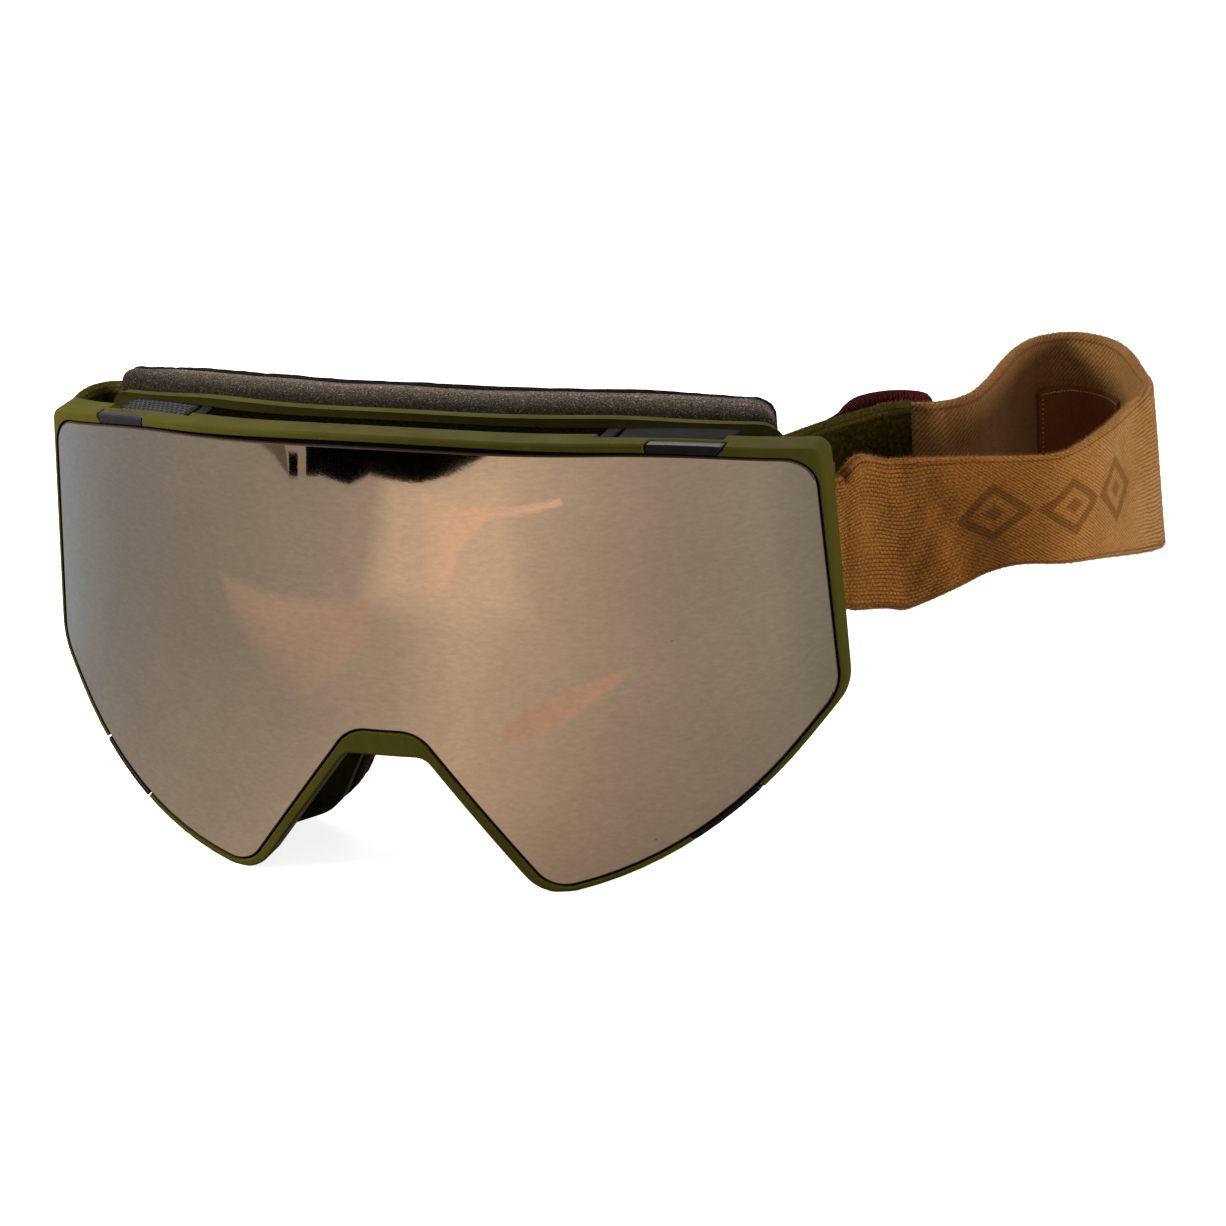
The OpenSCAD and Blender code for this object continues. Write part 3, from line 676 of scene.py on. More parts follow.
def frame_rim():
    """The olive outer frame: its rounded ring, with the lens seat, ends and lugs behind it."""
    back = cut(node_copy("frame_rim"), prism(grown(pocket_corners, BACK_OVERLAP), -5, 60), "INTERSECT")
    lip = LIP_FRONT + LIP_OVERLAP
    back = cut(back, drum(LENS_R - lip, lip), "INTERSECT")
    return joined("rim", [rim_ring(), back])


def tab(name, top, side):
    """One dark grip tab, flush with the rim."""
    half = (TAB_L if top else LOW_TAB_L) / 2 + TAB_MORE
    ends = stretches([(TAB_X - half, TAB_X + half)]) if top else stretches([], [(-half, half)])
    outer = grown(rim_corners, -TAB_SHORT) if top else grown(lens_corners, CARRIER_OUT + LOW_TAB_H)
    places = np.linspace(*ends[0 if side > 0 else 1], TAB_SPANS)
    return bar_object(name, outline(grown(carrier_corners, SEAT_GAP), lens_spans), outline(outer, lens_spans),
                      places, lens_face(LENS_R + RIM_PROUD), lens_face(LENS_R - TAB_DEPTH), TAB_ROUND)


# Lens unit

EDGE_IN = 0.3
EDGE_MID = 0.09
FILL_IN = 1.6
FILL_STEP = 3
LENS_SMOOTH = 12
COAT_SKIN = 0.1
COAT_TURN = 0.97


def outer_lens():
    """The mirrored lens: a bent sheet with a rounded edge, coated on its front."""
    back_r = LENS_R - LENS_T
    rows = []
    for inset, r in [(EDGE_IN, LENS_R), (EDGE_MID, LENS_R - EDGE_MID), (0, LENS_R - EDGE_IN),
                     (0, back_r + EDGE_IN), (EDGE_MID, back_r + EDGE_MID), (EDGE_IN, back_r)]:
        rows.append((outline(grown(lens_corners, -inset), lens_spans), r))
    n = len(rows[0][0])
    points = [ring_row(line, core(line[:, 0], r)) for line, r in rows]
    faces = loop_faces(len(rows), n, wrap=False)
    shrunk = outline(grown(lens_corners, -FILL_IN), lens_spans)
    base = n * len(rows)
    for line, r in (rows[0], rows[-1]):
        flat, triangles = filled(line, FILL_STEP, shrunk)
        points.append(ring_row(flat, core(flat[:, 0], r)))
        faces += [tuple(i + base for i in t) for t in triangles]
        base += len(flat)
    made = mesh_object("mirror_lens", np.concatenate(points), faces, LENS_SMOOTH)
    for face in made.data.polygons:
        out = Vector((face.center.x, face.center.y - (LENS_R - BRIDGE_Y) * MM, 0))
        on_front = out.length > (LENS_R - COAT_SKIN) * MM
        coated = on_front and face.normal.dot(out.normalized()) > COAT_TURN
        face.material_index = 0 if coated else 1
    return made


def bent_ring(name, outer, inner, radius):
    """A flat ring bent round the lens's axis behind the lens, with rounded edges."""
    rows = []
    for corners, way in ((outer, -1), (inner, 1)):
        for flip in (True, False):
            for ring, short in round_edge(corners, way, radius, 3, flip):
                line = outline(ring, lens_spans)
                r = LENS_FRONT - short if flip == (way < 0) else CARRIER_BACK + short
                rows.append(ring_row(line, core(line[:, 0], r)))
    return ring_object(name, rows)


def lens_carrier():
    """The carrier is a ring that bends with the lens."""
    return bent_ring("carrier", carrier_corners, grown(lens_corners, -CARRIER_W), CARRIER_ROUND)


def lens_gasket():
    """The soft spacer between the lenses."""
    outer = grown(lens_corners, -CARRIER_W - SOFT_GAP)
    return bent_ring("gasket", outer, grown(outer, -GASKET_W), GASKET_ROUND)


# Face frame and vents

def flange():
    """The ridge that the face foam is glued to."""
    inner = grown(seat_corners, all_edges([-FLANGE_W * w for w in SEAT_WIDTHS]))
    rows = []
    edges = ((seat_corners, -1, False, 1.5, 6), (seat_corners, -1, True, 0.8, 4),
             (inner, 1, True, 0.5, 3), (inner, 1, False, 0.8, 4))
    for corners, way, rear, radius, steps in edges:
        for ring, short in round_edge(corners, way, radius, steps, flip=rear == (way < 0)):
            line = outline(ring, seat_spans)
            depth = FLANGE_DEPTH - short if rear else FLANGE_FRONT + short
            rows.append(ring_row(line, behind(line[:, 0], depth, LENS_R)))
    return ring_object("flange", rows)


def face_frame():
    """The wall with its windows, and the flange. Faces that look forwards are marked for a darker copy of the
    olive, painted shade.
    """
    wall = cut(node_copy("face_frame"), drum(FLANGE_FRONT + FLANGE_OVERLAP, LENS_R), "DIFFERENCE")
    made = joined("inner_frame", [flange(), wall])
    for face in made.data.polygons:
        face.material_index = 1 if face.normal.y < LOOKS_FORWARD else 0
    return made


def wall_lines(thick):
    """The line along the wall that its pieces lie on, and the line of their tops."""
    spans = edge_spans(wall_corners)
    return [outline(grown(wall_corners, SEAT_GAP + rise), spans) for rise in (0, thick)]


def wall_bar(name, pair_x, thick, radius, flip=False):
    """A bar on top of the wall, between the ledge and the flange."""
    low, high = wall_lines(thick)
    n = len(low)
    a, b = (place_at_x(low, x) for x in pair_x)
    a, b = sorted((a - n if a > b + n / 2 else a, b))
    places = np.linspace(a, b, max(12, int((b - a) * 2)))
    if flip:
        places = (n + ARC_STEPS - places)[::-1]
    return bar_object(name, low, high, places, ledge_side, flange_side, radius)


def low_vent_foam(side):
    """The strip of foam over the windows under a cheek."""
    low, high = wall_lines(VENT_FOAM_T)
    inwards = np.array([-math.sin(cheek_slope), math.cos(cheek_slope)])
    middle = (np.array(CHEEK) + np.array(JAW)) / 2 + inwards * CHEEK_VENT_IN
    ends = sorted(place_along(low, middle, cheek_slope, s) for s in (-WINDOW_PITCH, WINDOW_PITCH))
    places = np.linspace(*ends, CHEEK_VENT_SPANS)
    if side == "left":
        places = (len(low) + ARC_STEPS - places)[::-1]
    front = lens_face(LIP_BACK - SOFT_GAP)
    return bar_object("cheek_vent_foam_" + side, low, high, places, front, flange_side, CHEEK_VENT_ROUND)


# Face foam

def ease(t):
    c = np.clip(t, 0, 1)
    return c * c * (3 - 2 * c)


def foam_thin(x):
    """How thick the foam is, from one in the middle to less at the temples."""
    return 1 - FOAM_FADE * ease((np.abs(x) - FADE_X) / FADE_W)


def foam_ring(name, profile, rough, seed):
    """A glued ring of the face seat. Each profile row is a share of the width, an inset and a depth. Its deep
    attribute is one at the fleece and nothing at the flange."""
    edges = list(zip(all_edges(SEAT_RISES), all_edges(SEAT_WIDTHS)))
    rows = []
    for share, inset, y in profile:
        settled = ease((y - FOAM_FRONT) / FOAM_SETTLE)
        moves = [FOAM_RISE * settled * rise - share * FOAM_W * width - inset for rise, width in edges]
        line = outline(grown(seat_corners, moves), seat_spans)
        depth = core(line[:, 0], LENS_R) + FOAM_FRONT + (y - FOAM_FRONT) * foam_thin(line[:, 0])
        line[:, 0] -= FOAM_LEAN * settled * ease((line[:, 1] - LEAN_FROM) / LEAN_OVER)
        rows.append(ring_row(line, depth))
    made = ring_object(name, rows, FOAM_SMOOTH)
    roughen(made, rough, seed)
    x, y, z = np.array([v.co for v in made.data.vertices], float).T / MM
    share = (y + BRIDGE_Y - core(x, LENS_R) - FOAM_FRONT) / foam_thin(x) / (2 * FOAM_T)
    point_values(made.data, "deep", share)
    return made


def roughen(piece, amounts, seed):
    """Moves points along their normals by smooth noise: pairs of size and height in millimetres."""
    random.seed(seed)
    shift = Vector((random.uniform(0, 50), random.uniform(0, 50), random.uniform(0, 50)))
    normals = [v.normal.copy() for v in piece.data.vertices]
    for v, normal in zip(piece.data.vertices, normals):
        push = sum(noise.noise(v.co / (size * MM) + shift) * height for size, height in amounts)
        v.co += normal * push * MM


def slab_profile(y0, tuck_front, tuck_back):
    """Rows round a foam layer, tucked in at its front or back edge and full in between."""
    shares = [k / SIDE_SPANS for k in range(SIDE_SPANS + 1)]
    sides = [(tuck_front * (1 - t) ** 3 + tuck_back * t ** 4, y0 + FOAM_T * t) for t in shares]
    steps = [s / FACE_SPANS for s in range(1, FACE_SPANS)]
    rows = [(0, tuck, y) for tuck, y in sides] + [(s, 0, y0 + FOAM_T) for s in steps]
    return rows + [(1, -tuck, y) for tuck, y in reversed(sides)] + [(s, 0, y0) for s in reversed(steps)]


def face_foams():
    """The two foam layers and the fleece."""
    base = foam_ring("foam_base", slab_profile(FOAM_FRONT, BASE_TUCK, 0), FOAM_ROUGH, 1)
    y0 = FOAM_FRONT + FOAM_T + SEAT_GAP
    middle = foam_ring("foam_mid", slab_profile(y0, 0, MID_TUCK), FOAM_ROUGH, 1)
    y0 += FOAM_T + SEAT_GAP
    outside = [(0, 0.5, 0), (0, 0.35, 0.2), (0, 0.4, 0.4), (0.04, 0.5, 0.62), (0.1, 0.5, 0.8),
               (0.2, 0.3, 0.93), (0.35, 0, 1)]
    inside_rows = [(1 - share, -inset, rise) for share, inset, rise in reversed(outside)]
    crown = outside + [(0.5, 0, 1.02)] + inside_rows + [(0.75, 0, 0), (0.5, 0, 0), (0.25, 0, 0)]
    fleece = foam_ring("fleece", [(a, b, y0 + FLEECE_T * c) for a, b, c in crown], FLEECE_ROUGH, 3)
    return base, middle, fleece


# Straps

def flat_run(points, low=RUN_LOW, high=RUN_HIGH):
    """Rows of a route whose edges stay level."""
    return [(x, y, low, high, 0) for x, y in points]


BEND_R = PIN_D / 2 + PIN_ROOM + STRAP_T / 2
PIN_Y = RIM_END + SOFT_GAP + STRAP_T + PIN_D / 2 + PIN_ROOM
pin_loop = flat_run([(PIN_X + x, PIN_Y + y)
                     for x, y in [(11.1, 12.9), (7.7, 9.8), (3.5, 5.4), (0.6, 3.5), (-1.7, 2.3)]],
                    STRAP_LOW + 1.5, STRAP_HIGH - 2)
bend = [math.radians(degrees) for degrees in range(180, 361, 36)]
pin_loop += flat_run([(PIN_X + BEND_R * math.cos(a), PIN_Y + BEND_R * math.sin(a)) for a in bend],
                     STRAP_LOW, STRAP_HIGH)

# Routes of the strap pieces: X, Y, low edge, high edge, and how far the low edge flares
TAN_ROUTE = [(85, 48, 21.6, 51.4, 0), (86.6, 49.2, 20.9, 53.4, 0), (88, 51, 20.4, 54.2, 0),
             (90.2, 53.7, 19.9, 53.2, 0), (92.6, 56.3, 19.3, 51.9, 0),
             (96.2, 59.3, 18.5, 51.4, 0), (106, 64, 22.5, 50.8, 0), (112, 65.2, 25.6, 50.9, 0),
             (118.6, 66.2, 27.4, 51, 0), (126.6, 70.6, 26.8, 51, 0.4), (131.6, 83.6, 24.3, 52.2, 1.2),
             (134, 105, 18.8, 52.7, 2.4), (134.4, 120, 15.4, 52.4, 3), (131, 132, 13, 51.8, 2),
             (125.5, 146, 11.8, 51.8, 0.8), (118.8, 156.6, 11.8, 51.8, 0), (109.8, 161, 11.8, 51.8, 0),
             (102.8, 156.4, 11.8, 51.8, 0), (100.2, 147.6, 11.8, 51.8, 0), (99.4, 136, 11.8, 51.8, 0),
             (99.4, 120, 11.8, 51.8, 0), (98.2, 109.4, 11.8, 51.6, 0), (94.2, 103.8, 11.8, 51.2, 0),
             (89, 102.3, 11.8, 50.8, 0), (83.8, 101.1, 11.8, 50.8, 0), (79.8, 98.6, 11.8, 50.8, 0)]
OLIVE_START = flat_run([(87, 99.7), (84.2, 98.4), (80.8, 95.2), (77, 89.4), (73.3, 83.2), (69.8, 76),
                        (67, 69.8), (64, 65), (59.6, 62.4)])
OLIVE_END = flat_run([(22, 63.6), (0, 66.4), (-30, 70.6), (-60, 76.6), (-80, 82.6), (-89, 84.8)])
OLIVE_END += [(-94.4, 83.6, 12.6, 51.8, 0), (-96.8, 78, 14, 51.8, 0), (-95.6, 69.6, 17, 51.8, 0),
              (-92.4, 60.6, 19.6, 52.4, 0), (-88.6, 53, 21.4, 52.6, 0), (-85, 48, 21.6, 50.9, 0)]
WEBBING_START = [(x, y, WEBBING_LOW, high, 0) for x, y, high in (
    (84, 104.4, 50.2), (87.4, 105.4, 50.6), (88.8, 108.2, 50.8), (86, 110.8, 50.8), (81, 111, 50.8),
    (76.6, 108.4, 50.8), (73.6, 103.8, 50.8), (72.6, 98, 50.6), (72.2, 92, 50.2), (68.9, 85.4, 49.2),
    (65.4, 78.2, 48.6), (62.6, 72, 48.6), (59.4, 68.2, 49.6))]
run_dir = unit((-1, 0.035))
run_out = Vector((run_dir.y, -run_dir.x))
RUN_MID = Vector((41, 62.6))
STRAIGHT = SLIDER_TRAVEL + SLIDER_L / 2 + 1
PATCH_FIRST = 76
PATCH_STEP = 3.4
ROUTE_STEPS = 8
EDGE_FULL = 1.2
STRAP_SMOOTH = 70
LEAST_FUZZ = 0.02
WEBBING_OFF = STRAP_T / 2 + BAR_D + WEBBING_T / 2 + 2 * SOFT_GAP


def run_point(s, off):
    """A point of the straight stretch that the slider moves on."""
    p = RUN_MID + run_dir * s + run_out * off
    return p.x, p.y


def smooth_route(route, steps):
    """A smooth line through the rows of a route."""
    rows = np.array(route, float)
    made = []
    for i in range(len(rows) - 1):
        a, b, c, d = rows[max(i - 1, 0)], rows[i], rows[i + 1], rows[min(i + 2, len(rows) - 1)]
        for k in range(steps):
            t = k / steps
            made.append(0.5 * (2 * b + (c - a) * t + (2 * a - 5 * b + 4 * c - d) * t * t
                               + (3 * b - a - 3 * c + d) * t ** 3))
    made.append(rows[-1])
    return np.array(made)


def evenly(rows, step):
    """The same line with its rows a fixed step apart, and their distances."""
    run = run_along(rows)
    goal = np.linspace(0, run[-1], max(2, round(run[-1] / step)) + 1)
    return np.column_stack([np.interp(goal, run, rows[:, k]) for k in range(rows.shape[1])]), goal


def band_object(name, route, thick, step, levels, relief, off=0.0):
    """A strap on edge along a route. relief(s, v, face) moves its faces out, for a distance along it and a
    height on it laid flat. The UV map holds both in metres. Attributes tell outer face and fuzzy edges."""
    rows, run = evenly(smooth_route(route, ROUTE_STEPS), step)
    ahead = np.gradient(rows[:, :2], axis=0)
    ahead /= np.linalg.norm(ahead, axis=1)[:, None]
    side = np.column_stack((-ahead[:, 1], ahead[:, 0]))
    f = np.linspace(0, 1, levels + 1)
    tall = rows[:, 3:4] - rows[:, 2:3]
    z = rows[:, 2:3] + tall * f
    lean = off - rows[:, 4:5] * (1 - f)
    edge = thick / 2
    from_edge = np.minimum(f * tall, (1 - f) * tall)
    half = edge * np.sqrt(np.clip(1 - (1 - np.clip(from_edge / (edge * EDGE_FULL), 0, 1)) ** 2, 0, 1))
    flat_v = f * tall.max() + 0 * z
    parts = []
    for face in (1, -1):
        swell = relief(run[:, None], flat_v, face) * np.clip(from_edge / edge, 0, 1)
        out = lean + face * (half + swell)
        x, y = (rows[:, k:k + 1] + side[:, k:k + 1] * out for k in (0, 1))
        parts.append(np.stack((x, y, z), axis=2))
    ring = np.concatenate((parts[0], parts[1][:, -2:0:-1]), axis=1)
    n, m = ring.shape[:2]
    faces = loop_faces(n, m, wrap=False)
    for row in (0, (n - 1) * m):
        for j in range(levels):
            corners = [row + j, row + j + 1, row + (m - j - 1) % m, row + (m - j) % m]
            faces.append(tuple(dict.fromkeys(corners)))
    made = mesh_object(name, ring.reshape(-1, 3), faces, STRAP_SMOOTH, weld=0)
    level = np.concatenate((np.arange(levels + 1), np.arange(levels - 1, 0, -1)))
    uv = made.data.uv_layers.new(name="cloth")
    for loop in made.data.loops:
        i, j = divmod(loop.vertex_index, m)
        uv.data[loop.index].uv = (run[i] * MM, flat_v[i, level[j]] * MM)
    point_values(made.data, "outer", np.tile(np.arange(m) > levels, n))
    rim_fuzz = 1 - np.clip(np.minimum(level, levels - level) * tall.max() / levels / EDGE_FULL, 0, 1)
    point_values(made.data, "fuzz", np.tile(LEAST_FUZZ + (1 - LEAST_FUZZ) * rim_fuzz, n))
    return made


# Relief of the straps. _S is a place along, _V one up the strap, _W a width, _H how far something stands out
TAN_RIB_H = 0.05
TAN_RIB_PITCH = 1.25
GATHER_S = 48
GATHER_W = 15
CREASE_S = 51
CREASE_V = 20
CREASE_SLANT = 0.25
CREASE_W = 2.4
CREASE_H = 0.5
CREASE_RISE = 12
ROLL_S = 31
ROLL_W = 4.5
ROLL_V = 30
FOLD_START = 26
FOLD_END = 250
FOLD_SHARE = 0.8
RIDGE_H = 0.22
RIDGE_W = 0.8
RIDGE_IN = 1.6
GROOVE_H = 0.3
GROOVE_W = 0.5
GROOVE_IN = 3.1
CORD_H = 0.17
CORD_PITCH = 1.3
SELVEDGE_W = 0.8
WEBBING_TALL = 38


def hill(value, middle, width):
    return np.exp(-((value - middle) / width) ** 2)


def ripple(s, v, height, per_s, per_v, shift=0.0):
    """Slanted waves over a strap."""
    return height * np.sin(s * per_s + v * per_v + shift)


def tan_relief(s, v, face):
    """Knit ribs, with folds where the strap is gathered at the frame."""
    ribs = TAN_RIB_H * np.abs(np.sin(math.pi * v / TAN_RIB_PITCH))
    folds = hill(s, GATHER_S, GATHER_W) * (ripple(s, v, 0.4, 0.42, 0.2) + ripple(s, v, 0.14, 0.9, -0.4, 1.3))
    crease = hill(s, CREASE_S + CREASE_SLANT * (CREASE_V - v), CREASE_W) * np.clip(v / CREASE_RISE, 0, 1)
    slow = ripple(s, v, 0.3, 1 / 13, 1 / 21) + ripple(s, v, 0.16, 1 / 5.1, -1 / 9, 2)
    fade = np.clip((s - FOLD_START) / 10, 0, 1) * np.clip((FOLD_END - s) / 20, 0, 1)
    roll = hill(s, ROLL_S, ROLL_W) * np.clip((v - ROLL_V) / 5, 0, 1) * (1.1 + ripple(s, v, 0.5, 1.7, 0.6))
    return ribs + roll * (face < 0) + face * fade * (folds - CREASE_H * crease + slow) * FOLD_SHARE


def olive_relief(s, v, face):
    """A ridge and a groove along each edge of the velvet."""
    tall = RUN_HIGH - RUN_LOW
    ridge = RIDGE_H * (hill(v, tall - RIDGE_IN, RIDGE_W) + hill(v, RIDGE_IN, RIDGE_W))
    groove = GROOVE_H * (hill(v, tall - GROOVE_IN, GROOVE_W) + hill(v, GROOVE_IN, GROOVE_W))
    return ridge - groove + face * ripple(s, v, 0.12, 1 / 8, 1 / 11)


def webbing_relief(s, v, face):
    """Ribs across the webbing, with a thinner selvedge."""
    rib = CORD_H * np.sin(2 * math.pi * s / CORD_PITCH + (0 if face > 0 else math.pi))
    return rib * np.clip(np.minimum(v, WEBBING_TALL - v) / SELVEDGE_W, 0.3, 1)


def patch_relief(s, v, face):
    return ripple(s, v, 0.04, 1.1, 0.7)


def strap_tan():
    return band_object("tan_strap", pin_loop + TAN_ROUTE, STRAP_T, 1.3, 150, tan_relief)


def strap_olive():
    """From the slider round the back to the left lug."""
    run = flat_run([run_point(s, 0) for s in (-STRAIGHT, -STRAIGHT / 2, 0, STRAIGHT / 2, STRAIGHT)])
    left = [(-x, y, low, high, flare) for x, y, low, high, flare in reversed(pin_loop)]
    return band_object("olive_strap", OLIVE_START + run + OLIVE_END + left, STRAP_T, 0.9, 60, olive_relief)


def adjuster_webbing():
    run = flat_run([run_point(s, WEBBING_OFF) for s in (-STRAIGHT, 1 - STRAIGHT, 0, STRAIGHT, STRAIGHT + 3)],
                   WEBBING_LOW, WEBBING_HIGH)
    return band_object("webbing", WEBBING_START + run, WEBBING_T, 0.3, 28, webbing_relief)


def patch_route():
    rows = smooth_route(pin_loop + TAN_ROUTE, 3)[PATCH_FIRST:PATCH_FIRST + round(PATCH_L / PATCH_STEP) + 1]
    return flat_run(rows[:, :2], PATCH_LOW, PATCH_LOW + PATCH_H)


def strap_patch():
    """The sewn patch inside the tan strap."""
    return band_object("inner_patch", patch_route(), PATCH_T, 0.8, 24, patch_relief,
                       STRAP_T / 2 + SEAT_GAP + PATCH_T / 2)


# Materials

def rgb(text, strength=1.0):
    """A screen colour as linear values."""
    parts = [int(text[i:i + 2], 16) / 255 for i in (1, 3, 5)]
    return tuple(strength * (c / 12.92 if c <= 0.04045 else ((c + 0.055) / 1.055) ** 2.4) for c in parts)


def blend_of(dark, light, share):
    return tuple(a * (1 - share) + b * share for a, b in zip(dark, light))


def step(operation):
    return lambda value, *others: value.tree.math(operation, value, *others)


class Level:
    """A value in a node tree, which is added, scaled and compared as a number is."""

    def __init__(self, tree, socket):
        self.tree = tree
        self.socket = socket

    __add__ = step("ADD")
    __sub__ = step("SUBTRACT")
    __mul__ = step("MULTIPLY")
    __truediv__ = step("DIVIDE")
    __mod__ = step("MODULO")
    __lt__ = step("LESS_THAN")
    __gt__ = step("GREATER_THAN")
    __abs__ = step("ABSOLUTE")
    most = step("MAXIMUM")
    sine = step("SINE")
    whole = step("FLOOR")
    part = step("FRACT")
    scaled = step("MULTIPLY_ADD")

    def __rsub__(self, other):
        return self.tree.math("SUBTRACT", other, self)

    def wave(self, turn):
        """The size of the sine of the value times turn."""
        return abs((self * turn).sine())


class Tree:
    """A node tree, with its nodes added by kind and fed by the names of their sockets."""

    def __init__(self, tree):
        self.tree = tree

    def feed(self, socket, value):
        if isinstance(value, Level):
            value = value.socket
        if isinstance(value, bpy.types.NodeSocket):
            self.tree.links.new(value, socket)
        elif isinstance(value, tuple) and len(value) == 3 and socket.type == "RGBA":
            socket.default_value = (*value, 1)
        else:
            socket.default_value = value

    def add(self, kind, inputs=(), **settings):
        made = self.tree.nodes.new(kind)
        for name, value in settings.items():
            setattr(made, name, value)
        for name, value in dict(inputs).items():
            self.feed(made.inputs[name], value)
        return made

    def math(self, operation, *values):
        made = self.add("ShaderNodeMath", dict(enumerate(values)), operation=operation)
        return Level(self, made.outputs[0])


class Finish(Tree):
    """A material's node tree."""

    def __init__(self, name, rough=0.5, **sockets):
        self.material = bpy.data.materials.new(name)
        self.material.use_nodes = True
        super().__init__(self.material.node_tree)
        self.shader = self.tree.nodes["Principled BSDF"]
        self.set(Roughness=rough, **sockets)
        self.place = self.add("ShaderNodeTexCoord").outputs["Object"]

    def set(self, **sockets):
        for name, value in sockets.items():
            self.feed(self.shader.inputs[name.replace("_", " ")], value)

    def held(self, attribute):
        return Level(self, self.add("ShaderNodeAttribute", attribute_name=attribute).outputs["Fac"])

    def stretched(self, scale):
        return self.add("ShaderNodeMapping", {"Vector": self.place, "Scale": scale}).outputs[0]

    def cloth(self):
        """Distance along the strap and height on it, in millimetres."""
        uv = self.add("ShaderNodeUVMap", uv_map="cloth")
        parts = self.add("ShaderNodeSeparateXYZ", {0: uv.outputs[0]})
        return [Level(self, parts.outputs[k]) * (1 / MM) for k in (0, 1)]

    def noise(self, scale, detail=2.0, rough=0.5, vector=None):
        made = self.add("ShaderNodeTexNoise", {"Scale": scale, "Detail": detail, "Roughness": rough,
                                               "Vector": vector or self.place})
        return Level(self, made.outputs["Fac"])

    def cells(self, scale):
        made = self.add("ShaderNodeTexVoronoi", {"Scale": scale, "Vector": self.place})
        return Level(self, made.outputs["Distance"])

    def between(self, value, start, end):
        """From nothing where the value is start to one where it is end."""
        made = self.add("ShaderNodeMapRange", {"Value": value, "From Min": start, "From Max": end})
        return Level(self, made.outputs[0])

    def ramp(self, value, *stops):
        """Colours or levels by value: pairs of place and colour."""
        made = self.add("ShaderNodeValToRGB", {"Fac": value})
        bar = made.color_ramp
        while len(bar.elements) < len(stops):
            bar.elements.new(0.5)
        for element, (spot, colour) in zip(bar.elements, stops):
            element.position = spot
            element.color = (*colour, 1) if isinstance(colour, tuple) else (colour, colour, colour, 1)
        return Level(self, made.outputs["Color"])

    def mix(self, share, a, b, blend="MIX"):
        made = self.add("ShaderNodeMix", {0: share, 6: a, 7: b}, data_type="RGBA", blend_type=blend)
        return made.outputs[2]

    def cloudy(self, value, low, high, a, b, most=1.0):
        """From colour a, where the value is low, towards colour b, where it is high."""
        return self.mix(self.ramp(value, (low, 0.0), (high, most)), a, b)

    def vary_roughness(self, scale, low, high, detail=4, ends=(0.3, 0.8), **noise_settings):
        value = self.noise(scale, detail, **noise_settings)
        self.set(Roughness=self.ramp(value, (ends[0], low), (ends[1], high)))

    def bump(self, height, distance, strength=1.0, below=None):
        """Sets the surface's small relief, over a finer one if there is one."""
        made = self.add("ShaderNodeBump", {"Height": height, "Distance": distance * MM, "Strength": strength})
        if below is not None:
            self.feed(made.inputs["Normal"], below)
        self.set(Normal=made.outputs["Normal"])
        return made.outputs["Normal"]


def olive_finish(name, depth=1.0):
    """Moulded olive plastic, with a faint dust. depth darkens the faces that lie in shade."""
    f = Finish(name, 0.7, Specular_IOR_Level=0.02)
    colour = f.cloudy(f.noise(60, 5, 0.6), 0.3, 0.75, rgb("#38340d", depth), rgb("#433f14", depth))
    f.set(Base_Color=f.cloudy(f.noise(420, 4, 0.7), 0.62, 0.8, colour, rgb("#524e28", depth), 0.5))
    f.vary_roughness(150, 0.62, 0.78)
    f.bump(f.noise(300, 3), 0.02, 0.3, f.bump(f.noise(2600, 2, 0.6), 0.02, 0.6))
    return f.material


def plastic_finish(name, base, edge, rough, grain=0.02, shine=0.08):
    """Moulded plastic or thread, with paler patches and a fine grain."""
    f = Finish(name, rough, Specular_IOR_Level=shine)
    f.set(Base_Color=f.cloudy(f.noise(350, 5, 0.7), 0.5, 0.78, rgb(base), rgb(edge), 0.8))
    f.vary_roughness(120, rough - 0.06, rough + 0.1)
    f.bump(f.noise(2400, 2), grain, 0.5)
    return f.material


def mirror_finish():
    """Bronze mirror coating with a faint mottle and a few specks."""
    f = Finish("bronze_mirror", 0.04, Metallic=1.0)
    colour = f.cloudy(f.noise(22, 5, 0.6), 0.3, 0.7, rgb("#b39a80"), rgb("#c2a78b"))
    grain = f.noise(520, 3, 0.7, f.stretched((1, 1, 2.4)))
    colour = f.mix(f.ramp(grain, (0.35, 0.3), (0.7, 0.0)), colour, rgb("#8f7a69"))
    speck = f.ramp(f.cells(210), (0.03, 1.0), (0.07, 0.0))
    chosen = f.ramp(f.noise(60, 2), (0.58, 0.0), (0.66, 0.55))
    f.set(Base_Color=f.mix(speck * chosen, colour, rgb("#5a4636")))
    f.vary_roughness(30, 0.018, 0.05, 6, (0.35, 0.8), rough=0.65)
    f.bump(f.noise(24, 2, 0.4), 0.012, 0.5, f.bump(f.noise(900, 3, 0.6), 0.0015, 0.5))
    return f.material


def lens_back_finish():
    f = Finish("lens_back", 0.55, Specular_IOR_Level=0.12)
    f.set(Base_Color=f.mix(f.noise(30, 3), rgb("#2a1c15"), rgb("#33231a")))
    return f.material


def clear_finish():
    f = Finish("clear_sheet", 0.04, Transmission_Weight=1.0, IOR=1.5)
    f.set(Base_Color=f.mix(f.noise(30, 3), rgb("#d9d6cf"), rgb("#e2e0da")))
    f.vary_roughness(60, 0.02, 0.07, ends=(0.4, 0.8))
    return f.material


def metal_finish(name, text):
    """Metal with a drawn grain."""
    f = Finish(name, 0.32, Metallic=1.0)
    f.set(Base_Color=f.mix(f.noise(500, 4), rgb(text), rgb(text, 0.8)))
    f.vary_roughness(260, 0.26, 0.42, 3, rough=0.6, vector=f.stretched((1, 1, 8)))
    f.bump(f.noise(1400, 2), 0.01, 0.4)
    return f.material


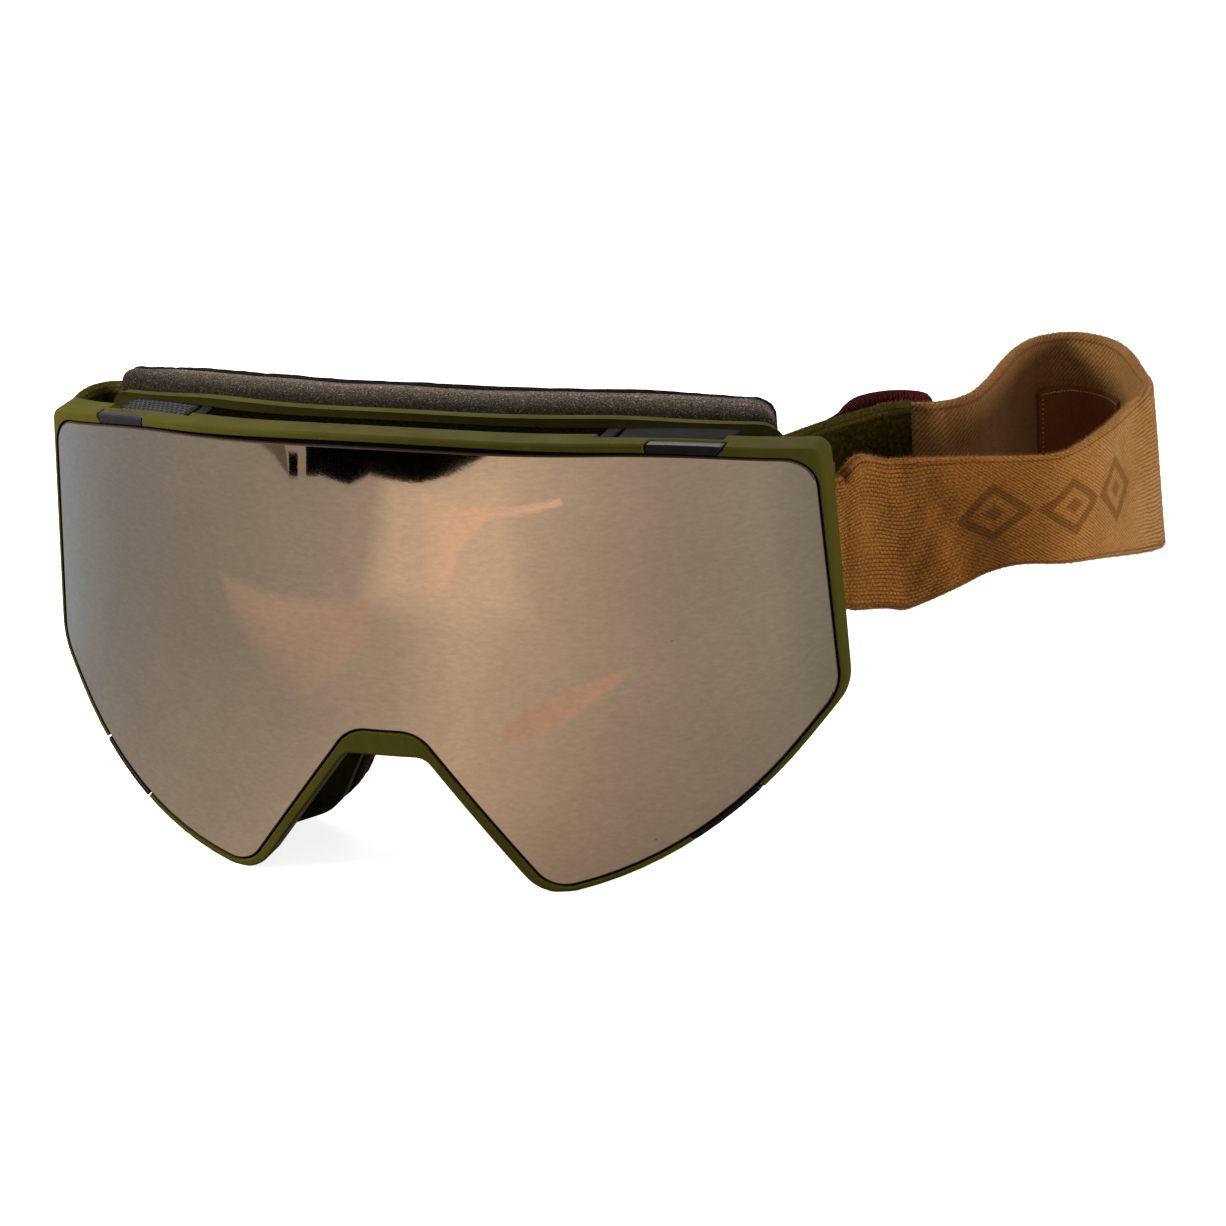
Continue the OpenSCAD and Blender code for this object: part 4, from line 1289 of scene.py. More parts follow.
def foam_finish(name, dark, light, cell, depth, shaded_in=False):
    """Open-cell foam: pits, pale cell walls, and painted glints where the walls catch the light. shaded_in adds
    painted shade and light by depth, darkest at the flange.
    """
    f = Finish(name, 0.95, Specular_IOR_Level=0.0)
    dark = rgb(dark)
    light = rgb(light)
    cells = f.cells(cell)
    fine = f.noise(cell * 1.3, 2, 0.7)
    fleck = f.ramp(fine, (0.53, 0.0), (0.62, 1.0))
    pit = f.ramp(f.noise(cell * 0.8, 3, 0.8), (0.36, 1.0), (0.5, 0.0))
    base = f.cloudy(f.noise(40, 4, 0.6), 0.35, 0.7, blend_of(dark, light, 1 / 3), blend_of(dark, light, 0.5))
    colour = f.mix(fleck, f.mix(pit, base, dark), light)
    # Painted glints: small patches brighter than the pale cell walls.
    painted_glint = tuple(1.9 * part for part in light)
    colour = f.cloudy(f.noise(cell * 0.8, 1, 0.5), 0.63, 0.69, colour, painted_glint, 0.75)
    # Painted shade and light by depth: dark at the flange, brightest about two thirds of the way to the fleece,
    # darker again at the fleece.
    if shaded_in:
        painted_shading = f.ramp(f.held("deep"), (0.0, 0.05), (0.22, 0.16), (0.5, 0.55), (0.68, 1.0), (0.84, 0.85),
                      (1.0, 0.4))
        colour = f.mix(1.0, colour, painted_shading, "MULTIPLY")
    f.set(Base_Color=colour)
    f.bump(cells + fine, depth, 0.9)
    return f.material


KNIT_ROW = 1.05
TWILL_PITCH = 0.82
KNIT_MID = 20.0
HEM_FROM_MID = 18.5
HEM_HALF = 0.28


def knit_finish():
    """Tan knit: rows of small loops near the frame, a fine diagonal twill past them, dropped stitches, and a
    plain darker figure on the outer face."""
    f = Finish("tan_knit", 0.92, Specular_IOR_Level=0.05, Sheen_Weight=0.12, Sheen_Roughness=0.45,
               Sheen_Tint=rgb("#e6cda4"))
    s, v = f.cloth()
    outer = f.held("outer")
    inner = outer < 0.5
    pull = (f.noise(55, 3, 0.6) - 0.5) * 3.2
    shear = (f.noise(38, 2, 0.5) - 0.5) * 3.0
    tight = v + pull
    row = tight / KNIT_ROW
    rib = row.wave(math.pi)
    loop = s + shear + row.whole() * 0.5
    stitch = loop.wave(math.pi)
    twill = (s * 0.72 + tight * 0.68).wave(math.pi / TWILL_PITCH)
    zone = f.between(s + pull * 3.0, 50.0, 64.0) * f.between(s, 118.0, 104.0)
    zone = zone.most(inner)
    height = f.mix(zone, rib * (stitch * 0.5 + 0.5), twill * 0.8 + stitch * 0.2)
    yarn = f.noise(2300, 3, 0.8)
    cloud = f.ramp(f.noise(60, 5, 0.65), (0.3, 0.0), (0.72, 1.0))
    along = s * 0.01
    # The tan is darker near the frame and paler further along the strap.
    near_tone = f.mix(cloud, rgb("#754617"), rgb("#875520"))
    middle_tone = f.mix(cloud, rgb("#8a531c"), rgb("#9e652b"))
    far_tone = f.mix(cloud, rgb("#885f2f"), rgb("#9c7348"))
    light = f.cloudy(along, 0.3, 0.62, near_tone, middle_tone)
    light = f.cloudy(along, 0.72, 1.1, light, far_tone)
    colour = f.cloudy(height, 0.05, 0.7, rgb("#5a3716"), light)
    colour = f.mix(f.ramp(yarn, (0.3, 0.55), (0.5, 0.0)), colour, rgb("#4a2a0e"))
    colour = f.cloudy(yarn, 0.5, 0.75, colour, rgb("#b5854d"), 0.6)
    colour = f.mix(dropped(f, s, row, loop) * outer, colour, rgb("#2e1706"))
    hem = (abs(abs(v - KNIT_MID) - HEM_FROM_MID) < HEM_HALF) * (stitch > 0.35)
    colour = f.mix(hem * 0.6, colour, rgb("#3a1f0b"))
    colour = f.mix(figure(f, s, tight) * 0.6 * outer, colour, rgb("#54300f"))
    # Painted shade: the inner face is blended three tenths of the way towards a darker brown.
    f.set(Base_Color=f.mix(inner * 0.3, colour, rgb("#55371a")))
    f.bump(height, 0.18, 0.8, f.bump(yarn, 0.16, 0.8))
    return f.material


def dropped(f, s, row, loop):
    """Small dark holes between the loops, in patches close to the frame."""
    a, b = (abs(value.part() - 0.5) for value in (row, loop))
    held = f.ramp(f.noise(70, 2), (0.36, 0.0), (0.56, 0.9))
    return (a > 0.33) * (b > 0.3) * f.between(s, 62.0, 44.0) * held


FIGURE_PITCH = 17.0
FIGURE_FIRST = 56.0
FIGURE_COUNT = 3
FIGURE_MID = 20.5
FIGURE_HALF = 10.5


def figure(f, s, v):
    """A plain row of nested diamonds, knitted in a darker yarn."""
    ds = abs((s - FIGURE_FIRST) % FIGURE_PITCH - FIGURE_PITCH / 2) / (FIGURE_PITCH / 2)
    away = ds + abs(v - FIGURE_MID) / FIGURE_HALF
    ring = f.ramp(away, (0.58, 0.0), (0.66, 1.0), (0.93, 1.0), (1.0, 0.0))
    dot = f.ramp(away, (0.22, 1.0), (0.32, 0.0))
    return (ring + dot) * ((s > FIGURE_FIRST) * (s < FIGURE_FIRST + FIGURE_COUNT * FIGURE_PITCH))


def velvet_finish():
    """Olive pile, with a paler band of loops near each edge."""
    f = Finish("olive_velvet", 0.95, Specular_IOR_Level=0.0)
    s, v = f.cloth()
    pile = f.noise(950, 3, 0.7)
    cloud = f.noise(120, 4, 0.65)
    colour = f.cloudy(cloud, 0.3, 0.75, rgb("#181304"), rgb("#2a2308"))
    colour = f.cloudy(pile, 0.46, 0.7, colour, rgb("#443b15"), 0.6)
    off = abs(v + cloud * 0.8 - 20.4) * 0.05
    band = f.ramp(off, (0.87, 0.0), (0.9, 1.0), (0.925, 1.0), (0.94, 0.15), (0.955, 1.0))
    loops = f.ramp(f.noise(1500, 3, 0.8), (0.35, 0.15), (0.65, 1.0))
    f.set(Base_Color=f.mix(band * loops, colour, rgb("#4b431c")))
    f.bump(pile, 0.25, 1.0)
    return f.material


def webbing_finish():
    """Burgundy cords that zigzag across the webbing."""
    f = Finish("burgundy_webbing", 0.85, Specular_IOR_Level=0.08)
    s, v = f.cloth()
    zigzag = abs(v / 1.6 % 1.0 - 0.5)
    height = ((s / 0.75 + zigzag) * (2 * math.pi)).sine() * 0.5 + 0.5
    colour = f.mix(height, rgb("#170303"), rgb("#471116"))
    f.set(Base_Color=f.mix(f.noise(900, 3) * 0.4, colour, rgb("#5e1c21")))
    f.bump(height, 0.2, 0.9)
    return f.material


def patch_finish():
    """Brown cloth with a diagonal thread."""
    f = Finish("patch_brown", 0.8, Specular_IOR_Level=0.15)
    s, v = f.cloth()
    f.set(Base_Color=f.mix(f.noise(80, 4), rgb("#5c3112"), rgb("#7a451d")))
    f.bump(((s + v) * (2 * math.pi / 0.7)).sine() + f.noise(900, 2), 0.06, 0.6)
    return f.material


# Slider

def rod(x, y, z0, z1, radius, count=28):
    """An upright bar."""
    turns = np.arange(count) * 2 * math.pi / count
    points = [(x + radius * math.cos(a), y + radius * math.sin(a), z) for z in (z0, z1) for a in turns]
    return mesh_object("rod", points, tube_faces(2, count))


def slab(width, y0, y1, z0, z1, radius):
    """A block with all edges rounded, centred on the strap's straight stretch."""
    points = []
    ends = quarter(radius)
    levels = [(z0 + short, inset) for inset, short in reversed(ends)]
    levels += [(z1 - short, inset) for inset, short in ends]
    for z, inset in levels:
        for s, y in rounded_box(width - 2 * inset, y1 - y0 - 2 * inset, max(radius * 1.6 - inset, 0.2), 5):
            points.append((*run_point(s + inset - width / 2, y + inset + y0), z))
    return mesh_object("slab", points, tube_faces(len(levels), len(points) // len(levels)))


def slider():
    """The adjuster: two rails joined by three bars."""
    inner = STRAP_T / 2 + SOFT_GAP
    outer = WEBBING_OFF + WEBBING_T / 2 + SOFT_GAP + BAR_D
    low = RUN_LOW - SOFT_GAP - RAIL_GAP
    high = RUN_HIGH + SOFT_GAP + RAIL_GAP
    parts = [slab(SLIDER_L, inner, outer, z, z + RAIL_H, RAIL_ROUND) for z in (low - RAIL_H, high)]
    spots = [(0, inner + BAR_D / 2)] + [(s * (SLIDER_L - BAR_D) / 2, outer - BAR_D / 2) for s in (-1, 1)]
    parts += [rod(*run_point(s, y), low - BAR_OVER, high + BAR_OVER, BAR_D / 2) for s, y in spots]
    return joined("slider_adjuster", parts)


rim = evened(frame_rim())
inner_frame = evened(face_frame())
vents = {}
for node, first, length, radius in (("vent_plate", PLATE_IN, PLATE_L, PLATE_ROUND),
                                    ("vent_tile", TILE_IN, TILE_L, TILE_ROUND)):
    for side in ("left", "right"):
        name = node + "_" + side
        vents[name] = wall_bar(name + "_skin", (first, first + length), PLATE_T, radius, side == "left")
top_foam = wall_bar("top_vent_foam", (-VENT_FOAM_X, VENT_FOAM_X), VENT_FOAM_T, VENT_FOAM_ROUND)
cheek_foams = {"vent_foam_low_" + side: low_vent_foam(side) for side in ("left", "right")}
foam_base, foam_mid, fleece = face_foams()
mirror = outer_lens()
carrier = lens_carrier()
gasket = lens_gasket()
tabs = {name: tab(name + "_skin", top, side) for name, top, side in (
    ("lens_tab_top_left", True, -1), ("lens_tab_top_right", True, 1),
    ("lens_tab_low_left", False, -1), ("lens_tab_low_right", False, 1))}
tan = strap_tan()
olive = strap_olive()
webbing = adjuster_webbing()
patch = strap_patch()
adjuster = slider()


# Repeated details, made with Geometry Nodes

class DetailTree(Tree):
    """A geometry node tree with named inputs."""

    def __init__(self, name, **sizes):
        super().__init__(bpy.data.node_groups.new(name, "GeometryNodeTree"))
        face = self.tree.interface
        face.new_socket("Geometry", in_out="INPUT", socket_type="NodeSocketGeometry")
        for size, value in sizes.items():
            face.new_socket(size, in_out="INPUT", socket_type="NodeSocketFloat").default_value = value
        face.new_socket("Material", in_out="INPUT", socket_type="NodeSocketMaterial")
        face.new_socket("Geometry", in_out="OUTPUT", socket_type="NodeSocketGeometry")
        self.source = self.add("NodeGroupInput").outputs

    def named(self, name, kind="FLOAT_VECTOR"):
        return self.add("GeometryNodeInputNamedAttribute", {"Name": name}, data_type=kind).outputs[0]

    def close(self, points, instance, rotation, size):
        """Sets an instance on each point, makes them real and paints them."""
        placed = self.add("GeometryNodeInstanceOnPoints", {"Points": points.outputs[0], "Scale": size,
                                                           "Instance": instance.outputs[0],
                                                           "Rotation": rotation.outputs[0]})
        real = self.add("GeometryNodeRealizeInstances", {0: placed.outputs[0]})
        painted = self.add("GeometryNodeSetMaterial", {"Geometry": real.outputs[0],
                                                       "Material": self.source["Material"]})
        self.add("NodeGroupOutput", {0: painted.outputs[0]})
        return self.tree


def bead_tree():
    """A flattened bead on each point, laid by the point's own directions."""
    g = DetailTree("beads", Long=0.001, Wide=0.0005, High=0.0002)
    ball = g.add("GeometryNodeMeshIcoSphere", {"Radius": 0.5, "Subdivisions": 2})
    size = g.add("ShaderNodeCombineXYZ", {0: g.source["Long"], 1: g.source["Wide"], 2: g.source["High"]})
    up = g.add("FunctionNodeAlignRotationToVector", {"Vector": g.named("facing")}, axis="Z")
    way = g.add("FunctionNodeAlignRotationToVector", {"Rotation": up.outputs[0], "Vector": g.named("along")},
                axis="X", pivot_axis="Z")
    dots = g.add("GeometryNodeMeshToPoints", {"Mesh": g.source["Geometry"]})
    return g.close(dots, ball, way, size.outputs[0])


def hair_tree():
    """Short loose hairs, as thick as the surface's fuzz attribute says."""
    g = DetailTree("hairs", Density=40000.0, Length=0.0009, Thickness=0.00003, Tilt=1.0)
    density = g.math("MULTIPLY", g.named("fuzz", "FLOAT"), g.source["Density"])
    spread = g.add("GeometryNodeDistributePointsOnFaces", {"Mesh": g.source["Geometry"], "Density": density,
                                                           "Seed": 11})
    hair = g.add("GeometryNodeMeshCone", {"Vertices": 3, "Depth": g.source["Length"], "Radius Top": 0.0,
                                          "Radius Bottom": g.source["Thickness"]}, fill_type="NONE")
    bend = g.add("FunctionNodeRandomValue", {0: (-1, -1, -1), 1: (1, 1, 1), "Seed": 3},
                 data_type="FLOAT_VECTOR")
    tilt = g.add("ShaderNodeVectorMath", {0: bend.outputs[0], "Scale": g.source["Tilt"]}, operation="SCALE")
    leaning = g.add("FunctionNodeEulerToRotation", {0: tilt.outputs[0]})
    turned = g.add("FunctionNodeRotateRotation", {0: spread.outputs["Rotation"], 1: leaning.outputs[0]},
                   rotation_space="LOCAL")
    size = g.add("FunctionNodeRandomValue", {2: 0.4, 3: 1.25, "Seed": 5}, data_type="FLOAT")
    return g.close(spread, hair, turned, size.outputs[1])


def set_by_nodes(name, base, group, material, **sizes):
    """The plain mesh that a node tree makes from a base mesh."""
    holder = linked(name + "_base", base)
    modifier = holder.modifiers.new("nodes", "NODES")
    modifier.node_group = group
    given = {"Material": material, **sizes}
    for item in group.interface.items_tree:
        if item.in_out == "INPUT" and item.name in given:
            modifier[item.identifier] = given[item.name]
    data = evaluated(holder)
    bpy.data.objects.remove(holder)
    data.name = name
    data.shade_smooth()
    return linked(name, data)


def dotted(name, spots, material, long, wide, high):
    """Beads at spots, each a point with its along and facing directions, in millimetres."""
    data = bpy.data.meshes.new(name + "_spots")
    data.from_pydata([tuple(p) for p in laid([spot[0] for spot in spots])], [], [])
    for k, title in ((1, "along"), (2, "facing")):
        held = data.attributes.new(title, "FLOAT_VECTOR", "POINT")
        held.data.foreach_set("vector", np.array([spot[k] for spot in spots], np.float32).ravel())
    return set_by_nodes(name, data, beads, material, Long=long * MM, Wide=wide * MM, High=high * MM)


def plate_dimples():
    """Rows of small oval dimples on the left vent plate, each in a paler border."""
    line = wall_lines(PLATE_T)[1]
    spots = []
    for i in range(DIMPLE_ROWS):
        for j in range(DIMPLE_COLUMNS):
            share = (j + 0.5 * (i % 2)) / (DIMPLE_COLUMNS - 0.5)
            place = place_at_x(line, PLATE_IN + DIMPLE_MARGIN + (PLATE_L - 2 * DIMPLE_MARGIN) * share)
            a, b = at(line, np.array([place - 0.2, place + 0.2]))
            mid = (a + b) / 2
            way = (b - a) / np.linalg.norm(b - a)
            front = ledge_side(mid[0])
            y = front + (flange_side(mid[0]) - front) * (0.13 + 0.66 * i / (DIMPLE_ROWS - 1))
            spots.append(((-mid[0], y, mid[1]), (-way[0], 0, way[1]), (way[1], 0, way[0])))
    borders = dotted("dimple_borders", spots, border_grey, 1.4, 1.0, 0.12)
    return borders, dotted("plate_dimples", spots, dimple_black, 1.05, 0.7, 0.2)


def band_spots(route, off, places):
    """Spots on a strap's inner face, from pairs of distance and share of its height."""
    rows, run = evenly(smooth_route(route, ROUTE_STEPS), 0.5)
    ahead = np.gradient(rows[:, :2], axis=0)
    spots = []
    for s, share in places:
        x, y, low, high, flare = (np.interp(s, run, rows[:, k]) for k in range(5))
        way = np.array([np.interp(s, run, ahead[:, k]) for k in (0, 1)])
        way /= np.linalg.norm(way)
        side = np.array([-way[1], way[0]])
        spot = np.array((x, y)) + side * (off - flare * (1 - share))
        spots.append(((*spot, low + (high - low) * share), (*way, 0), (*side, 0)))
    return spots


def patch_stitches():
    """Pale stitches round the inner patch."""
    route = patch_route()
    length = sum(math.dist(a[:2], b[:2]) for a, b in zip(route, route[1:]))
    last = length - STITCH_IN
    runs = [(STITCH_IN + (last - STITCH_IN) * k / RUN_STITCHES, share)
            for share in (1 - STITCH_LOW, STITCH_LOW) for k in range(RUN_STITCHES + 1)]
    ends = [(s, STITCH_LOW + (1 - 2 * STITCH_LOW) * k / END_STITCHES)
            for k in range(1, END_STITCHES) for s in (STITCH_IN, last)]
    off = STRAP_T / 2 + SEAT_GAP + PATCH_T + STITCH_PROUD
    return dotted("patch_stitches", band_spots(route, off, runs + ends), pale_thread, 0.75, 0.34, 0.22)


beads = bead_tree()
hairs = hair_tree()
dimple_black = plastic_finish("dimple_black", "#040404", "#0b0b0b", 0.6)
border_grey = plastic_finish("dimple_border", "#3c3b3c", "#4f4e50", 0.5)
pale_thread = plastic_finish("pale_thread", "#a08a62", "#c9b58c", 0.8, 0.05)


# What each piece stands for, rides on and is made of

olive_plastic = olive_finish("olive_moulding")
# A darker copy of the olive moulding: painted shade for the face frame's forward faces.
olive_recess = olive_finish("olive_recess", 0.3)
plate_plastic = plastic_finish("vent_grey", "#151414", "#211f1f", 0.7, shine=0.02)
tab_plastic = plastic_finish("tab_black", "#100e0e", "#1b1918", 0.42)
# A lighter, cooler copy of the tab plastic for the top-left tab: painted cool reflection.
tab_reflection_copy = plastic_finish("tab_blue_grey", "#18181a", "#242427", 0.5)
carrier_plastic = plastic_finish("carrier_black", "#080707", "#100e0d", 0.75)
slider_plastic = plastic_finish("slider_dark", "#1d1b1a", "#2f2c2a", 0.4)
steel = metal_finish("steel_plain", "#8c8a86")
brown_foam = foam_finish("brown_foam", "#1c1713", "#7d7164", 2900, 0.08, True)
black_foam = foam_finish("black_foam", "#020201", "#0d0b07", 1500, 0.2)
fleece_pile = foam_finish("black_fleece", "#070606", "#24201e", 2600, 0.1)


def carry(piece, body, slot):
    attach(piece, body)


def dress(piece, body, slot, material, stands_for, more=()):
    """Gives a piece its materials, hides the node it stands for and sets it on its body. slot is not used."""
    marked = [face.material_index for face in piece.data.polygons]
    piece.data.materials.clear()
    for held in (material, *more):
        piece.data.materials.append(held)
    piece.data.polygons.foreach_set("material_index", marked)
    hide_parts(stands_for)
    carry(piece, body, slot)


dress(rim, "frame", "frame_olive", olive_plastic, "frame_rim")
dress(inner_frame, "frame", "frame_olive", olive_plastic, "face_frame", more=[olive_recess])
for node, piece in vents.items():
    dress(piece, "frame", "vent_plastic", plate_plastic, node)
for node, piece in {"vent_foam_top": top_foam, **cheek_foams}.items():
    dress(piece, "frame", "vent_foam", black_foam, node)
dress(foam_base, "frame", "face_foam", brown_foam, "face_foam_base")
dress(foam_mid, "frame", "face_foam", brown_foam, "face_foam_mid")
dress(fleece, "frame", "fleece", fleece_pile, "face_fleece")
dress(olive, "frame", "strap_olive", velvet_finish(), "strap_olive")
dress(tan, "frame", "strap_tan", knit_finish(), "strap_tan")
dress(patch, "frame", "patch", patch_finish(), "strap_patch")
dress(webbing, "frame", "webbing", webbing_finish(), "adjuster_webbing")
dress(adjuster, "slider", "slider_plastic", slider_plastic, "strap_slider")
dress(mirror, "lens_unit", "mirror_lens", mirror_finish(), "outer_lens", more=[lens_back_finish()])
dress(carrier, "lens_unit", "carrier_black", carrier_plastic, "lens_carrier")
dress(gasket, "lens_unit", "vent_foam", black_foam, "lens_gasket")
for node, piece in tabs.items():
    # The top-left tab takes the copy with the painted cool reflection.
    dress(piece, "lens_unit", "tab_plastic", tab_reflection_copy if node == "lens_tab_top_left" else tab_plastic, node)

nickel = metal_finish("nickel_plate", "#a5a19a")
for node, material in (("frame_discs", steel), ("strap_pin_left", steel), ("strap_pin_right", steel),
                       ("inner_lens", clear_finish()), ("lens_magnets", nickel)):
    for held in nodes[node].material_slots:
        held.material = material

for piece in plate_dimples():
    carry(piece, "frame", "vent_plastic")
carry(patch_stitches(), "frame", "patch")
HAIR_T = 0.03
for strap, name, colours, density, length in ((tan, "tan", ("#7c4f22", "#a0733d"), 16e6, 0.8),
                                              (olive, "olive", ("#26230a", "#474015"), 14e6, 0.55)):
    hair_finish = plastic_finish(name + "_hair", *colours, 0.9)
    fuzz = set_by_nodes(name + "_fuzz", strap.data.copy(), hairs, hair_finish, Density=density,
                        Length=length * MM, Thickness=HAIR_T * MM, Tilt=1.0)
    carry(fuzz, "frame", "strap_" + name)


# Room, lights and camera

AZIMUTH = math.radians(18.38)
ELEVATION = math.radians(18.57)
ROLL = math.radians(-2.31)
CAMERA_PLACE = (318.28, -808.67, 319.39)
SENSOR = 36
FOCAL_SHARE = 4500 / 1226
UP = Vector((0, 0, 1))
IN_GLOSS = 0.5
ON_OBJECT = 0.42


def facing(position, forward, roll=0.0):
    """A world matrix that looks along forward, rolled about it."""
    fwd = Vector(forward).normalized()
    right = fwd.cross(UP).normalized()
    up = right.cross(fwd)
    x = right * math.cos(roll) + up * math.sin(roll)
    y = up * math.cos(roll) - right * math.sin(roll)
    turned = Matrix((x, y, -fwd)).transposed().to_4x4()
    turned.translation = Vector(position) * MM
    return turned


scene.view_settings.view_transform = "Standard"
camera_data = bpy.data.cameras.new("view")
camera_data.sensor_width = SENSOR
camera_data.lens = SENSOR * FOCAL_SHARE
camera_data.clip_start = 0.05
camera_data.clip_end = 20
camera = linked("view", camera_data)
level_way = math.cos(ELEVATION)
looking = (-math.sin(AZIMUTH) * level_way, math.cos(AZIMUTH) * level_way, -math.sin(ELEVATION))
camera.matrix_world = facing(CAMERA_PLACE, looking, ROLL)
scene.camera = camera


def stage_shape(name, corners, z, material, edge=0.0, fade=None):
    """A flat stage shape at a height. With a fade, its edge is soft over a width, and its strength varies."""
    work = bmesh.new()
    held = work.verts.layers.float.new("inside")
    border = [work.verts.new((x * MM, y * MM, z * MM)) for x, y in corners]
    face = work.faces.new(border)
    if fade:
        work.normal_update()
        bmesh.ops.inset_individual(work, faces=[face], thickness=edge * MM)
        for vert in work.verts:
            vert[held] = 0.0 if vert in border else fade(vert.co.x / MM, vert.co.y / MM)
        bmesh.ops.triangulate(work, faces=work.faces)
    data = bpy.data.meshes.new(name)
    work.to_mesh(data)
    work.free()
    data.materials.append(material)
    made = linked(name, data)
    return made


def mirrored_only(shape):
    """Seen in reflections and nowhere else."""
    shape.visible_camera = False
    shape.visible_diffuse = False
    shape.visible_shadow = False
    shape.visible_transmission = False
    shape.visible_volume_scatter = False


def square(half):
    return [(-half, -half), (half, -half), (half, half), (-half, half)]


def glow(name, colour):
    """A light surface, and its emission node."""
    f = Finish(name)
    light = f.add("ShaderNodeEmission", {"Strength": 1.0, "Color": colour})
    f.feed(f.tree.nodes["Material Output"].inputs["Surface"], light.outputs[0])
    return f, light


def soft_glow(name, colour):
    """A glow that goes clear where the shape's inside value goes to nothing."""
    f, light = glow(name, colour)
    clear = f.add("ShaderNodeBsdfTransparent")
    both = f.add("ShaderNodeMixShader", {0: f.held("inside"), 1: clear.outputs[0], 2: light.outputs[0]})
    f.feed(f.tree.nodes["Material Output"].inputs["Surface"], both.outputs[0])
    return f.material


def room_glow():
    """What the lens reflects: cool at the left, bright in the middle and grey at the right, with a painted
    shadow that darkens it close to the lens towards the right.
    """
    f, light = glow("room_glow", (1, 1, 1))
    axis_y = (LENS_R - BRIDGE_Y) * MM
    parts = f.add("ShaderNodeSeparateXYZ", {0: f.place})
    angle = f.math("ARCTAN2", parts.outputs[0], axis_y - Level(f, parts.outputs[1]))
    share = angle.scaled(1 / math.pi, 0.5)
    colour = f.ramp(share, (0.0, (0.46, 0.58, 0.74)), (0.05, (0.42, 0.54, 0.68)), (0.13, (0.41, 0.47, 0.56)),
                    (0.25, (0.47, 0.51, 0.53)), (0.36, (0.56, 0.57, 0.59)), (0.45, (0.74, 0.71, 0.68)),
                    (0.51, (1.02, 0.94, 0.86)), (0.57, (0.92, 0.86, 0.80)), (0.64, (0.72, 0.70, 0.68)),
                    (0.71, (0.60, 0.60, 0.62)), (0.79, (0.54, 0.60, 0.61)), (0.85, (0.40, 0.45, 0.49)),
                    (1.0, (0.38, 0.42, 0.46)))
    # Painted shadow: towards the right the glow grows darker close to the lens, standing in for the floor's
    # shadow under the goggles.
    away = f.add("ShaderNodeVectorMath", {0: f.place, 1: (0, axis_y, 0)}, operation="DISTANCE")
    far = Level(f, away.outputs["Value"]) * 2.0
    near = f.ramp(far, (0.25, 0.55), (0.36, 0.78), (0.56, 0.92), (0.75, 1.0))
    near = f.cloudy(share, 0.42, 0.6, (1.0, 1.0, 1.0), near)
    f.feed(light.inputs["Color"], f.mix(1.0, colour, near, "MULTIPLY"))
    return f.material


def floor_material():
    """White, with the shadow kept."""
    f = Finish("floor_white", 0.9, Specular_IOR_Level=0.0)
    seen = Level(f, f.add("ShaderNodeLightPath").outputs["Is Camera Ray"])
    f.set(Base_Color=f.mix(seen, (0.25, 0.25, 0.25), (0.8, 0.8, 0.8)))
    f.set(Emission_Color=(1, 1, 1), Emission_Strength=seen * 0.84)
    return f.material


def room_world():
    """White to the camera, half as strong in reflections, and a soft even light on the object."""
    world = bpy.data.worlds.new("room")
    world.use_nodes = True
    room = Tree(world.node_tree)
    sky = room.tree.nodes["Background"].inputs
    rays = room.add("ShaderNodeLightPath").outputs
    seen = room.math("MAXIMUM", rays["Is Camera Ray"], room.math("MULTIPLY", rays["Is Glossy Ray"], IN_GLOSS))
    level = room.add("ShaderNodeMapRange", {"Value": seen, "To Min": ON_OBJECT, "To Max": 1.0})
    room.feed(sky["Color"], (1, 1, 1))
    room.feed(sky["Strength"], level.outputs[0])
    return world


def lamp(name, position, target, size, power, colour=(1, 1, 1)):
    """A round soft lamp aimed at a point."""
    data = bpy.data.lights.new(name, "AREA")
    data.shape = "DISK"
    data.size = size * MM
    data.energy = power
    data.color = colour
    linked(name, data).matrix_world = facing(position, Vector(target) - Vector(position))


